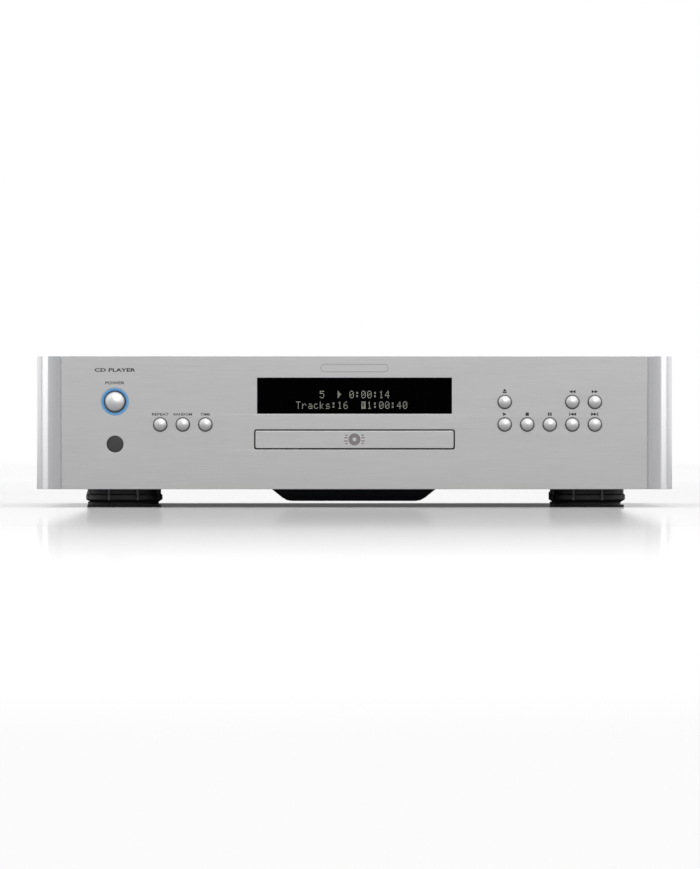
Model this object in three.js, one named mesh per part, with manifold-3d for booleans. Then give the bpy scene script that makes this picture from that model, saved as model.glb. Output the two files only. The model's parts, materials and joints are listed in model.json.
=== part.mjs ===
// A full-width hi-fi CD player with a motorised disc tray, built as an assembly of separate solids.
// Millimetres. +X is to the right as seen from the front, +Y runs to the rear and +Z is up.
// The origin is on the surface that the feet stand on, in the middle of the player's width and depth.
import * as THREE from 'three';
import { mergeVertices } from 'three/addons/utils/BufferGeometryUtils.js';
import Module from 'manifold-3d';

const wasm = await Module();
wasm.setup();

// ---------------------------------------------------------------- driving dimensions
const WIDTH = 430;
const HEIGHT = 102;
const DEPTH = 314;
const SHEET = 1.2; // folded steel
const GAP = 0.4; // between parts that touch

const FRONT_TIP = -DEPTH / 2; // crown of the power button
const REAR_TIP = DEPTH / 2; // tips of the rear jacks

const panel = { halfWidth: 197.4, bottom: 12.2, top: HEIGHT, front: FRONT_TIP + 4, back: FRONT_TIP + 10 };
const chassis = { halfWidth: 209, floor: 13.6, rear: 146 };
const lid = { top: 100, side: 211, rear: chassis.rear + 1.2, skirt: 15.6 };
const cap = { inside: 192, seam: 198.3, tail: lid.side + GAP, behind: -140.2, rear: -122 };

// Front controls: each is [name, x, z].
const PITCH = 15.2;
const UPPER_ROW = 71;
const LOWER_ROW = UPPER_ROW - PITCH;
const LEFT_GROUP = -131;
const RIGHT_GROUP = 101.3;
const buttons = [
  ['button_repeat', LEFT_GROUP, LOWER_ROW],
  ['button_random', LEFT_GROUP + PITCH, LOWER_ROW],
  ['button_time', LEFT_GROUP + 2 * PITCH, LOWER_ROW],
  ['button_open_close', RIGHT_GROUP, UPPER_ROW],
  ['button_search_back', RIGHT_GROUP + 3 * PITCH, UPPER_ROW],
  ['button_search_forward', RIGHT_GROUP + 4 * PITCH, UPPER_ROW],
  ['button_play', RIGHT_GROUP, LOWER_ROW],
  ['button_stop', RIGHT_GROUP + PITCH, LOWER_ROW],
  ['button_pause', RIGHT_GROUP + 2 * PITCH, LOWER_ROW],
  ['button_track_back', RIGHT_GROUP + 3 * PITCH, LOWER_ROW],
  ['button_track_forward', RIGHT_GROUP + 4 * PITCH, LOWER_ROW],
];
const button = { radius: 4.5, hole: 4.78, proud: 3 };
const power = { x: -161.6, z: UPPER_ROW + 0.2, radius: 6.9, ring: 9.2, hole: 9.35 };
const sensor = { x: -161.5, z: 42.6, radius: 5.6, hole: 5.7 };
const display = { halfWidth: 65.5, low: 63.2, high: 87.2 };

// Tray, its slot in the front panel, and the disc that it carries.
const slot = { halfWidth: 67.7, middle: 45.7, height: 13.6, corner: 1.8 };
const door = { halfWidth: 66.8, height: 11.8, corner: 1.2, front: panel.front - 0.4, thickness: 4 };
const tray = { halfWidth: 65, rack: 39, bottom: 41, seat: 43, top: 48, rear: 36, window: 25 };
const disc = { radius: 60.5, small: 40.5, y: -79 };
const GEAR_TO_RACK = 9; // pitch radius of the tray pinion
const gear = { x: -48, y: -124 };
const RACK_LINE = gear.x - GEAR_TO_RACK;
const GEAR_SPACING = 21.6;
const pulley = { x: gear.x + GEAR_SPACING, radius: 13 };
const motor = { x: 14, radius: 11.5, pulley: 3.25 };
const belt = { low: 34.9, high: 36.1, thickness: 1.2 };

// Traverse: the tilting deck with the spindle, the pickup sled and its drive.
const deck = { halfWidth: 46, front: -103, rear: 30, bottom: 28, under: 33, top: 35 };
const hinge = { y: 26, z: 31, radius: 2 };
const sled = { front: -62.5, rear: -30, rod: 25, axis: 31 };
const LENS_Y = -55;

// Sump: the pressed recess in the base that gives the traverse room to drop.
const sump = { x: -0.5, halfTop: 57.2, halfBottom: 45.6, front: -138, rear: 62, bottom: 4 };

const feet = [
  ['front_left', -156.5, -112],
  ['front_right', 158, -112],
  ['rear_left', -164, 108],
  ['rear_right', 164, 108],
];

// ---------------------------------------------------------------- finishes
const finish = (color, roughness, metalness) => new THREE.MeshStandardMaterial({ color, roughness, metalness });
const brushedAluminium = finish(0xb5b5b5, 0.42, 0.9);
const capAluminium = finish(0xc4c4c6, 0.28, 0.9);
const buttonMetal = finish(0xd2d2d2, 0.25, 0.9);
const silverPaint = finish(0xa9aaab, 0.55, 0.4);
const blackSteel = finish(0x17171a, 0.5, 0.3);
const zincSteel = finish(0xaeb0b2, 0.4, 0.9);
const brightSteel = finish(0xd0d2d4, 0.2, 1);
const blackPlastic = finish(0x1a1a1a, 0.45, 0);
const deckPlastic = finish(0x26272a, 0.5, 0);
const whitePlastic = finish(0xe4e2da, 0.45, 0);
const feltBlack = finish(0x101010, 0.95, 0);
const beltRubber = finish(0x141414, 0.8, 0);
const smokedAcrylic = finish(0x050505, 0.08, 0);
const sensorAcrylic = finish(0x4c4c4c, 0.3, 0);
const blueLight = finish(0x6fa4d8, 0.3, 0);
const boardGreen = finish(0x1f5a34, 0.5, 0.1);
const glass = finish(0x8fa3b8, 0.05, 0);
const copperWinding = finish(0x5a3a1c, 0.4, 0.3);
const capacitorSleeve = finish(0x1c2340, 0.35, 0.1);
const orangeRing = finish(0xd8741a, 0.4, 0);

// ---------------------------------------------------------------- geometry helpers

// A closed three.js geometry as a solid that can be joined and cut.
// Its points are snapped to a fine grid, so that faces meant to be level with each other are exactly level.
const GRID = 1024; // points per millimetre

function solid(geometry) {
  const bare = geometry.index ? geometry.toNonIndexed() : geometry.clone();
  bare.deleteAttribute('normal');
  bare.deleteAttribute('uv');
  const merged = mergeVertices(bare, 1e-4);
  const corners = merged.index.array;
  const triangles = [];
  for (let i = 0; i < corners.length; i += 3) {
    const [a, b, c] = [corners[i], corners[i + 1], corners[i + 2]];
    if (a !== b && b !== c && c !== a) triangles.push(a, b, c);
  }
  const vertProperties = merged.attributes.position.array.map((value) => Math.round(value * GRID) / GRID);
  return new wasm.Manifold(new wasm.Mesh({ numProp: 3, vertProperties, triVerts: new Uint32Array(triangles) }));
}

const union = (first, ...others) => others.reduce((sum, other) => sum.add(other), first);
const cut = (body, ...tools) => tools.reduce((rest, tool) => rest.subtract(tool), body);

// A block between two corners.
function block([x0, x1], [y0, y1], [z0, z1]) {
  const geometry = new THREE.BoxGeometry(x1 - x0, y1 - y0, z1 - z0);
  return solid(geometry.translate((x0 + x1) / 2, (y0 + y1) / 2, (z0 + z1) / 2));
}

const ARC_STEPS = 6;
const extruded = (shape, depth, steps) =>
  new THREE.ExtrudeGeometry(shape, { depth, bevelEnabled: false, curveSegments: steps });

// An outline in (x, y) raised from z0 to z1.
const raised = (shape, z0, z1, steps = ARC_STEPS) => solid(extruded(shape, z1 - z0, steps).translate(0, 0, z0));

// An outline in (x, z) running from y0 back to y1.
const runBack = (shape, y0, y1, steps = ARC_STEPS) =>
  solid(extruded(shape, y1 - y0, steps).rotateX(Math.PI / 2).translate(0, y1, 0));

// An outline in (y, z) running across from x0 to x1.
function runAcross(shape, x0, x1, steps = ARC_STEPS) {
  const turn = new THREE.Matrix4().makeBasis(
    new THREE.Vector3(0, 1, 0),
    new THREE.Vector3(0, 0, 1),
    new THREE.Vector3(1, 0, 0),
  );
  return solid(extruded(shape, x1 - x0, steps).applyMatrix4(turn).translate(x0, 0, 0));
}

const outline = (points) => new THREE.Shape(points.map(([u, v]) => new THREE.Vector2(u, v)));

function circle(u, v, radius) {
  const path = new THREE.Path();
  path.absarc(u, v, radius, 0, 2 * Math.PI);
  return path;
}

// A rectangle centred on (u, v) with rounded corners.
function roundedRectangle(u, v, width, height, radius) {
  const [right, top] = [width / 2 - radius, height / 2 - radius];
  const shape = new THREE.Shape();
  shape.absarc(u + right, v + top, radius, 0, Math.PI / 2);
  shape.absarc(u - right, v + top, radius, Math.PI / 2, Math.PI);
  shape.absarc(u - right, v - top, radius, Math.PI, 1.5 * Math.PI);
  shape.absarc(u + right, v - top, radius, 1.5 * Math.PI, 2 * Math.PI);
  return shape;
}

// A round bar of the given radius along 'x', 'y' or 'z', from a to b, through (u, v) in the other two axes.
function bar(axis, radius, a, b, [u, v], sides = 20) {
  const geometry = new THREE.CylinderGeometry(radius, radius, b - a, sides).translate(0, (a + b) / 2, 0);
  if (axis === 'x') return solid(geometry.rotateZ(-Math.PI / 2).translate(0, u, v));
  if (axis === 'z') return solid(geometry.rotateX(Math.PI / 2).translate(u, v, 0));
  return solid(geometry.translate(u, 0, v));
}

// A profile of [radius, height] points turned about its axis, which points along 'y' or 'z'.
function turned(profile, sides, axis = 'z') {
  const points = profile.map(([r, h]) => new THREE.Vector2(r, h));
  if (THREE.ShapeUtils.area(points) < 0) points.reverse();
  const geometry = new THREE.LatheGeometry(points, sides);
  return solid(axis === 'z' ? geometry.rotateX(Math.PI / 2) : geometry);
}

// A named mesh of a solid, at a place in its group.
function part(name, body, material, position = [0, 0, 0]) {
  const { vertProperties, triVerts } = body.getMesh();
  const geometry = new THREE.BufferGeometry();
  geometry.setAttribute('position', new THREE.BufferAttribute(new Float32Array(vertProperties), 3));
  geometry.setIndex(new THREE.BufferAttribute(new Uint32Array(triVerts), 1));
  geometry.computeVertexNormals();
  const mesh = new THREE.Mesh(geometry, material);
  mesh.name = name;
  mesh.position.set(...position);
  return mesh;
}

const assembly = (...meshes) => new THREE.Group().add(...meshes);

// ---------------------------------------------------------------- gears

// The outline of an involute spur gear with short teeth. A tooth is centred on the angle toothAt.
function gearOutline(module, teeth, toothAt) {
  const PRESSURE = (20 * Math.PI) / 180;
  const BACKLASH = 0.25; // taken off each tooth at the pitch circle
  const pitch = (module * teeth) / 2;
  const base = pitch * Math.cos(PRESSURE);
  const root = pitch - module;
  const tip = pitch + 0.8 * module;
  const involute = (angle) => Math.tan(angle) - angle;
  const halfTooth = Math.PI / (2 * teeth) - BACKLASH / (2 * pitch) + involute(PRESSURE);
  const halfAngleAt = (r) => halfTooth - involute(Math.acos(Math.min(1, base / r)));
  const flank = [root, pitch, tip];
  const points = [];
  for (let tooth = 0; tooth < teeth; tooth++) {
    const middle = toothAt + (tooth * 2 * Math.PI) / teeth;
    const put = (r, side) => {
      const angle = middle + side * halfAngleAt(Math.max(r, base));
      points.push([r * Math.cos(angle), r * Math.sin(angle)]);
    };
    flank.forEach((r) => put(r, -1));
    flank.toReversed().forEach((r) => put(r, 1));
  }
  return outline(points);
}

const TRAY_MODULE = 1.2;
const REDUCTION_MODULE = 0.8;
const TRAY_TEETH = 15;
const LARGE_TEETH = 40;
const SMALL_TEETH = 14;

// The rack under the tray: straight-sided teeth that point to +x, one of them level with the gear's centre.
function rackOutline(front, rear) {
  const toothPitch = Math.PI * TRAY_MODULE;
  const [tip, root, back] = [RACK_LINE + 0.8 * TRAY_MODULE, RACK_LINE - TRAY_MODULE, -60.6];
  const halfAtTip = toothPitch / 4 - 0.8 * TRAY_MODULE * Math.tan(0.35) - 0.12;
  const halfAtRoot = toothPitch / 4 + TRAY_MODULE * Math.tan(0.35) - 0.12;
  const points = [[back, front], [root, front]];
  const first = Math.ceil((front + halfAtRoot - gear.y) / toothPitch);
  const last = Math.floor((rear - halfAtRoot - gear.y) / toothPitch);
  for (let tooth = first; tooth <= last; tooth++) {
    const y = gear.y + tooth * toothPitch;
    points.push([root, y - halfAtRoot], [tip, y - halfAtTip], [tip, y + halfAtTip], [root, y + halfAtRoot]);
  }
  points.push([root, rear], [back, rear]);
  return outline(points);
}

// ---------------------------------------------------------------- front panel and its controls

function frontPanel() {
  const paneHeight = display.high - display.low;
  const face = outline([
    [-panel.halfWidth, panel.bottom],
    [panel.halfWidth, panel.bottom],
    [panel.halfWidth, panel.top],
    [-panel.halfWidth, panel.top],
  ]);
  face.holes = [
    roundedRectangle(0, (display.low + display.high) / 2, 2 * display.halfWidth + GAP, paneHeight + GAP, GAP),
    roundedRectangle(0, slot.middle, 2 * slot.halfWidth, slot.height, slot.corner),
    circle(power.x, power.z, power.hole),
    circle(sensor.x, sensor.z, sensor.hole),
    ...buttons.map(([, x, z]) => circle(x, z, button.hole)),
  ];
  return runBack(face, panel.front, panel.back, 12);
}

// A solid extrusion whose face sweeps from the front round to the side, with one fine groove near the edge.
// Its tongue tucks behind the front panel and its tail covers the front edge of the lid.
function endCap(side) {
  const CORNER = { x: cap.seam, y: -133, rx: WIDTH / 2 - cap.seam, ry: 19.2 };
  const [front, back] = [panel.back + GAP, cap.behind - GAP];
  const GROOVE_AT = 0.67; // radians from the side
  const GROOVE = { half: 0.022, depth: 0.55 };
  const onCurve = (angle, inset = 0) => [
    CORNER.x + (CORNER.rx - inset) * Math.cos(angle),
    CORNER.y - (CORNER.ry - inset) * Math.sin(angle),
  ];
  const points = [[cap.inside, front], [cap.seam, front]];
  for (const share of [1, 0.88, 0.77, 0.67, 0.58, 0.5]) points.push(onCurve((share * Math.PI) / 2));
  points.push(onCurve(GROOVE_AT + GROOVE.half), onCurve(GROOVE_AT + GROOVE.half, GROOVE.depth));
  points.push(onCurve(GROOVE_AT - GROOVE.half, GROOVE.depth), onCurve(GROOVE_AT - GROOVE.half));
  for (const share of [0.34, 0.24, 0.12, 0]) points.push(onCurve((share * Math.PI) / 2));
  points.push([WIDTH / 2, cap.rear], [cap.tail, cap.rear], [cap.tail, back], [cap.inside, back]);
  const mirrored = side < 0 ? points.map(([x, y]) => [-x, y]).reverse() : points;
  return raised(outline(mirrored), panel.bottom, panel.top);
}

function trayDoor() {
  const face = roundedRectangle(0, slot.middle, 2 * door.halfWidth, door.height, door.corner);
  return runBack(face, door.front, door.front + door.thickness);
}

// A crowned push button: cap, retaining flange behind the panel and stem. Its axis is the y axis.
function pushButton(radius, proud, flange) {
  const tip = panel.front - proud;
  const stemEnd = -140.8;
  return turned(
    [
      [0, tip],
      [radius * 0.5, tip + 0.32],
      [radius * 0.82, tip + 1.05],
      [radius, tip + 2.2],
      [radius, panel.back + 0.6],
      [flange, panel.back + 0.6],
      [flange, panel.back + 1.6],
      [2, panel.back + 1.6],
      [2, stemEnd],
      [0, stemEnd],
    ],
    14,
    'y',
  );
}

function lightRing() {
  const [inner, front, back] = [power.radius + 0.4, panel.front - 0.3, panel.back + 0.2];
  const section = [[inner, front], [power.ring, front], [power.ring, back], [inner, back], [inner, front]];
  return turned(section, 24, 'y');
}

function frontBracket() {
  const [low, high, halfWidth] = [15.2, 97.5, 188];
  const [face, back, lip] = [-143.4, -142.2, -129];
  const opening = (x0, x1, z0, z1) => outline([[x0, z0], [x1, z0], [x1, z1], [x0, z1]]);
  const plate = opening(-halfWidth, halfWidth, low, high);
  plate.holes = [
    opening(-63, 63, 61, 89),
    opening(-69.5, 69.5, 37, 54.5),
    opening(-174, -90, 34, 84),
    opening(92, 172, 47, 80),
  ];
  return union(
    runBack(plate, face, back),
    block([-halfWidth, halfWidth], [face, lip], [low, low + SHEET]),
    block([-halfWidth, halfWidth], [face, lip], [high - SHEET, high]),
  );
}

// One long board behind the bracket, cut away over the tray, with a tact switch for each button.
function controlBoard() {
  const [front, back] = [-136, -134.4];
  const board = outline([
    [-186, 32], [-78, 32], [-78, 58.5], [74, 58.5], [74, 47], [180, 47], [180, 95], [-186, 95],
  ]);
  const switchAt = (x, z) => block([x - 3, x + 3], [front - 3.4, front + 0.5], [z - 3, z + 3]);
  const switches = [...buttons.map(([, x, z]) => switchAt(x, z)), switchAt(power.x, power.z)];
  const receiver = block([sensor.x - 4, sensor.x + 4], [front - 6, front + 0.5], [sensor.z - 4, sensor.z + 4]);
  return union(runBack(board, front, back), ...switches, receiver);
}

function displayModule() {
  return union(
    block([-60, 60], [-144.6, -136.4], [64, 86]),
    block([-56, 56], [-147.6, -144.4], [66.5, 83.5]),
  );
}

function frontAssembly() {
  const [paneFront, paneBack] = [-152.2, -149.4];
  const { halfWidth, low, high } = display;
  const windowPane = block([-halfWidth, halfWidth], [paneFront, paneBack], [low, high]);
  const sensorPane = bar('y', sensor.radius, -152.8, -148, [0, 0]);
  const smallButton = pushButton(button.radius, button.proud, 5.6);
  return assembly(
    part('front_panel', frontPanel(), brushedAluminium),
    part('end_cap_left', endCap(-1), capAluminium),
    part('end_cap_right', endCap(1), capAluminium),
    part('display_window', windowPane, smokedAcrylic),
    part('display_module', displayModule(), glass),
    part('power_light_ring', lightRing(), blueLight, [power.x, 0, power.z]),
    part('remote_sensor_window', sensorPane, sensorAcrylic, [sensor.x, 0, sensor.z]),
    part('front_bracket', frontBracket(), zincSteel),
    part('control_board', controlBoard(), boardGreen),
    part('button_power', pushButton(power.radius, 4, 8.8), buttonMetal, [power.x, 0, power.z]),
    ...buttons.map(([name, x, z]) => part(name, smallButton, buttonMetal, [x, 0, z])),
  );
}

// ---------------------------------------------------------------- casing and feet

// The sump's outer skin, or its inner one when the sheet's thickness is given as the inset.
function sumpForm(inset) {
  const floor = sump.bottom + inset;
  const roof = chassis.floor + (inset ? 2 * SHEET : 0.6);
  const run = (sump.halfTop - sump.halfBottom) / (chassis.floor - sump.bottom);
  const halfAt = (z) => sump.halfBottom + (z - sump.bottom) * run - inset * 1.4;
  const across = new THREE.Shape();
  across.moveTo(sump.x - halfAt(roof), roof);
  across.lineTo(sump.x - halfAt(floor + 2.4), floor + 2.4);
  across.quadraticCurveTo(sump.x - halfAt(floor), floor, sump.x - halfAt(floor) + 3.6, floor);
  across.lineTo(sump.x + halfAt(floor) - 3.6, floor);
  across.quadraticCurveTo(sump.x + halfAt(floor), floor, sump.x + halfAt(floor + 2.4), floor + 2.4);
  across.lineTo(sump.x + halfAt(roof), roof);
  const lean = (roof - floor) * run;
  const [front, rear] = [sump.front + inset * 1.4 + (chassis.floor - roof) * run, sump.rear - inset * 1.4];
  const along = outline([[front, roof], [front + lean, floor], [rear - lean, floor], [rear, roof]]);
  return runBack(across, sump.front - 5, sump.rear + 5, 2).intersect(runAcross(along, -80, 80));
}

// The outline of a sheet that fits behind the front panel and between the tongues of the end caps.
function betweenCaps(halfWidth, rear) {
  const [front, notch] = [panel.back + GAP, cap.inside - GAP];
  return outline([
    [-notch, front], [notch, front], [notch, cap.behind], [halfWidth, cap.behind],
    [halfWidth, rear], [-halfWidth, rear], [-halfWidth, cap.behind], [-notch, cap.behind],
  ]);
}

function chassisBase() {
  const [back, high] = [chassis.rear - SHEET - GAP, 40];
  const w = chassis.halfWidth;
  const floor = raised(betweenCaps(w, back), chassis.floor, chassis.floor + SHEET);
  const flanges = [-w, w - SHEET].map((x) => block([x, x + SHEET], [cap.behind, back], [chassis.floor, high]));
  return cut(union(floor, sumpForm(0), ...flanges), sumpForm(SHEET));
}

// The folded lid: top and two sides, with two banks of ventilation slots.
function topCover() {
  const w = lid.side;
  const top = raised(betweenCaps(w, lid.rear), lid.top - SHEET, lid.top);
  const SLOTS = 15;
  const [slotWidth, slotLength, slotPitch] = [3.2, 44, 8];
  const slots = [-6, 72].flatMap((y) =>
    Array.from({ length: SLOTS }, (_, i) => {
      const x = (i - (SLOTS - 1) / 2) * slotPitch - slotWidth / 2;
      return block([x, x + slotWidth], [y, y + slotLength], [lid.top - 2 * SHEET, lid.top + 1]);
    }),
  );
  const sides = [-w, w - SHEET].map((x) => block([x, x + SHEET], [cap.behind, lid.rear], [lid.skirt, lid.top]));
  return cut(union(top, ...sides), ...slots);
}

const footProfile = [
  [0, 1.8], [22.7, 1.8], [22.7, 3], [25, 4.4], [26, 5], [26, 8.2], [25, 8.8], [25, 13.2], [0, 13.2],
];
const padProfile = [[0, 0], [25.2, 0], [25.2, 1.5], [0, 1.5]];

function casing() {
  return assembly(
    part('chassis_base', chassisBase(), blackSteel),
    part('top_cover', topCover(), silverPaint),
    part('rear_panel', rearPanel(), blackSteel),
    ...feet.flatMap(([name, x, y]) => [
      part(`foot_${name}`, turned(footProfile, 24), blackPlastic, [x, y, 0]),
      part(`foot_pad_${name}`, turned(padProfile, 24), feltBlack, [x, y, 0]),
    ]),
  );
}

// ---------------------------------------------------------------- rear panel and its sockets
const mains = { x: -168, z: 45, bodyWidth: 27, bodyHeight: 19.6 };
const balanced = [['left', 158], ['right', 122]];
const BALANCED_Z = 64;
const analogue = { x: 84, high: 73, low: 55 };
const digital = { x: 48, z: 55 };

function rearPanel() {
  const w = chassis.halfWidth;
  const plate = outline([[-w, chassis.floor], [w, chassis.floor], [w, 98.4], [-w, 98.4]]);
  plate.holes = [
    roundedRectangle(mains.x, mains.z, mains.bodyWidth + 0.8, mains.bodyHeight + 0.8, 1),
    ...balanced.map(([, x]) => circle(x, BALANCED_Z, 12)),
    circle(analogue.x, analogue.high, 5.6),
    circle(analogue.x, analogue.low, 5.6),
    circle(digital.x, digital.z, 5.6),
  ];
  return runBack(plate, chassis.rear - SHEET, chassis.rear, 12);
}

// The mains inlet: flange, body, an open cavity with its upper corners cut off, and three flat pins.
function mainsInlet() {
  const [flangeFront, flangeBack, bodyFront, floor] = [chassis.rear + GAP, chassis.rear + 3, 124, 133];
  const { bodyWidth, bodyHeight } = mains;
  const [halfWidth, half, bevel] = [12.25, 8.3, 4.6];
  const cavity = outline([
    [-halfWidth, -half], [halfWidth, -half], [halfWidth, half - bevel], [halfWidth - bevel, half],
    [bevel - halfWidth, half], [-halfWidth, half - bevel],
  ]);
  const pins = [[-7, -2], [0, 2], [7, -2]].map(([x, z]) =>
    block([x - 1, x + 1], [floor - 1, 143.5], [z - 2, z + 2]));
  const shell = union(
    runBack(roundedRectangle(0, 0, 48, 27, 3), flangeFront, flangeBack),
    runBack(roundedRectangle(0, 0, bodyWidth, bodyHeight, 1), bodyFront, flangeBack),
  );
  return union(cut(shell, runBack(cavity, floor, flangeBack + 1)), ...pins);
}

// A three-pin balanced outlet: square flange, round shell and a deep round well.
function balancedOutput() {
  const [flangeFront, flangeBack, bodyFront, floor] = [chassis.rear + GAP, chassis.rear + 2.4, 126, 135];
  const shell = union(
    runBack(roundedRectangle(0, 0, 26, 31, 3), flangeFront, flangeBack),
    bar('y', 11.5, bodyFront, flangeBack + 1.2, [0, 0], 16),
  );
  const pins = [-0.5, 0, 0.5].map((turn) => {
    const angle = turn * 1.8 - Math.PI / 2;
    return bar('y', 1.25, floor - 1, 144.5, [4.2 * Math.cos(angle), 4.2 * Math.sin(angle)], 6);
  });
  return union(cut(shell, bar('y', 8.2, floor, flangeBack + 2, [0, 0], 12)), ...pins);
}

// One or more phono jacks on a common housing, one above the other.
function phonoJacks(heights) {
  const [housingFront, housingBack, centreHole] = [130, chassis.rear - SHEET - GAP, 1.6];
  const [lowest, highest] = [Math.min(...heights) - 7, Math.max(...heights) + 7];
  const housing = block([-6, 6], [housingFront, housingBack], [lowest, highest]);
  const collars = heights.map((z) => bar('y', 5.2, housingBack - 1, chassis.rear + 1.4, [0, z], 16));
  const barrels = heights.map((z) => bar('y', 4.15, housingBack - 1, REAR_TIP, [0, z], 16));
  const holes = heights.map((z) => bar('y', centreHole, REAR_TIP - 9, REAR_TIP + 1, [0, z], 8));
  return cut(union(housing, ...collars, ...barrels), ...holes);
}

function sockets() {
  return assembly(
    part('mains_inlet', mainsInlet(), blackPlastic, [mains.x, 0, mains.z]),
    ...balanced.map(([name, x]) =>
      part(`balanced_output_${name}`, balancedOutput(), zincSteel, [x, 0, BALANCED_Z])),
    part('analogue_output_jacks', phonoJacks([analogue.low, analogue.high]), brightSteel, [analogue.x, 0, 0]),
    part('digital_output_jack', phonoJacks([digital.z]), orangeRing, [digital.x, 0, 0]),
  );
}

// ---------------------------------------------------------------- electronics

function mainBoard() {
  const [low, high, foot] = [21, 22.6, chassis.floor + SHEET + GAP];
  const board = outline([[-62, 60], [92, 60], [92, -100], [196, -100], [196, 138], [-62, 138]]);
  const standoffs = [[-54, 68], [-54, 130], [60, 130], [188, 130], [188, -92], [100, -92], [188, 20]];
  const chips = [
    [[20, 40], [80, 100], 25.4],
    [[52, 64], [84, 92], 25.4],
    [[112, 136], [-40, -16], 25.4],
    [[120, 134], [70, 84], 36],
    [[146, 160], [70, 84], 36],
    [[105, 150], [10, 22], 31],
  ];
  return union(
    raised(board, low, high),
    ...standoffs.map((at) => bar('z', 3, foot, low + 0.5, at, 8)),
    ...chips.map(([xs, ys, top]) => block(xs, ys, [high - 0.5, top])),
  );
}

const transformer = { x: -138, y: 6 };

function toroid() {
  const [inner, outer, low, high, round] = [14, 47, 16.5, 56, 9];
  const profile = [];
  const corners = [[outer - round, low + round, -90], [outer - round, high - round, 0],
    [inner + round, high - round, 90], [inner + round, low + round, 180]];
  for (const [r, h, start] of corners) {
    for (const degrees of [0, 45, 90]) {
      const angle = ((start + degrees) * Math.PI) / 180;
      profile.push([r + round * Math.cos(angle), h + round * Math.sin(angle)]);
    }
  }
  profile.push(profile[0]);
  return turned(profile, 24);
}

// The dished washer and the bolt that hold the toroid down.
function transformerBolt() {
  const washer = turned([[0, 56.6], [18, 56.6], [31, 56.8], [31, 58.2], [18, 60], [0, 60]], 16);
  const shank = bar('z', 4, chassis.floor + SHEET + GAP, 57, [0, 0], 10);
  const nut = bar('z', 6.5, 59.5, 65, [0, 0], 6);
  return union(washer, shank, nut);
}

function heatSink() {
  const [x0, y0, foot, top] = [-118, 88, chassis.floor + SHEET + GAP, 62];
  const fins = Array.from({ length: 7 }, (_, i) => {
    const x = x0 + i * 7;
    return block([x, x + 2], [y0, y0 + 26], [foot, top]);
  });
  return union(block([x0, x0 + 44], [y0 + 10, y0 + 14], [foot, top]), ...fins);
}

function electronics() {
  return assembly(
    part('main_board', mainBoard(), boardGreen),
    part('transformer', toroid(), copperWinding, [transformer.x, transformer.y, 0]),
    part('transformer_bolt', transformerBolt(), brightSteel, [transformer.x, transformer.y, 0]),
    part('heat_sink', heatSink(), blackSteel),
    part('reservoir_capacitor', bar('z', 11, 23, 58, [0, 0]), capacitorSleeve, [-34, 96, 0]),
  );
}

// ---------------------------------------------------------------- loader: frame, tray and tray drive

const frame = { inside: 66, outside: 69, front: -141, rear: 43, bottom: 20, top: 51 };

function loaderFrame() {
  const { inside, outside, front, rear, bottom, top } = frame;
  const walls = [-1, 1].map((side) => {
    const xs = [side * inside, side * outside].sort((a, b) => a - b);
    const ledge = [side * 61, side * (inside + 1)].sort((a, b) => a - b);
    const tab = [side * 62, side * (inside + 1)].sort((a, b) => a - b);
    const lug = [side * 50, side * (inside + 1)].sort((a, b) => a - b);
    const foot = [side * (inside - 3), side * outside].sort((a, b) => a - b);
    return union(
      block(xs, [front, rear], [bottom, top]),
      block(ledge, [front, rear], [38.2, 40.6]),
      ...[-132, -60, 20].map((y) => block(tab, [y, y + 10], [48.5, 50.5])),
      block(lug, [20, 32], [24, 37]),
      ...[-120, 30].map((y) => block(foot, [y, y + 8], [chassis.floor + SHEET + GAP, bottom + 1])),
    );
  });
  const floor = block([-inside - 1, inside + 1], [front, -104.5], [22, 24]);
  const backWall = block([-inside - 1, inside + 1], [rear - 3, rear], [bottom, 40]);
  const posts = [bar('z', 1.5, 23, 40, [gear.x, gear.y], 12), bar('z', 1.5, 23, 37.6, [pulley.x, gear.y], 12)];
  const motorHole = bar('z', motor.radius + GAP, 21, 25, [motor.x, gear.y]);
  const hingeBore = bar('x', hinge.radius + GAP, -62, 62, [hinge.y, hinge.z], 12);
  return cut(union(...walls, floor, backWall, ...posts), motorHole, hingeBore);
}

function clampBridge() {
  const [front, rear, low, high] = [-101, -57, frame.top + GAP, frame.top + GAP + SHEET];
  const ends = 72;
  const plate = outline([[-ends, front], [ends, front], [ends, rear], [-ends, rear]]);
  plate.holes = [circle(0, disc.y, 16)];
  const ribs = [front, rear - SHEET].map((y) => block([-ends, ends], [y, y + SHEET], [low, high + 5]));
  return union(raised(plate, low, high, 16), ...ribs);
}

function discTray() {
  const { halfWidth: w, bottom, seat, top, rear, window } = tray;
  const front = door.front + door.thickness + GAP;
  const body = raised(roundedRectangle(0, (front + rear) / 2, 2 * w, rear - front, 2), bottom, top);
  const recess = bar('z', disc.radius, seat, top + 1, [0, disc.y], 40);
  const smallRecess = bar('z', disc.small, seat - 1, top + 1, [0, disc.y], 32);
  const spindleRoom = bar('z', window, bottom - 1, top + 1, [0, disc.y], 24);
  const sledRoom = block([-window, window], [disc.y, rear + 1], [bottom - 1, top + 1]);
  const pockets = [-1, 1].map((side) => {
    const xs = [side * 29, side * 54].sort((a, b) => a - b);
    return block(xs, [-10, rear - 3], [bottom - 1, top - 2]);
  });
  const carved = cut(body, recess, smallRecess, spindleRoom, sledRoom, ...pockets);
  return union(carved, raised(rackOutline(-136, 33), tray.rack, bottom + 0.5));
}

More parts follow.
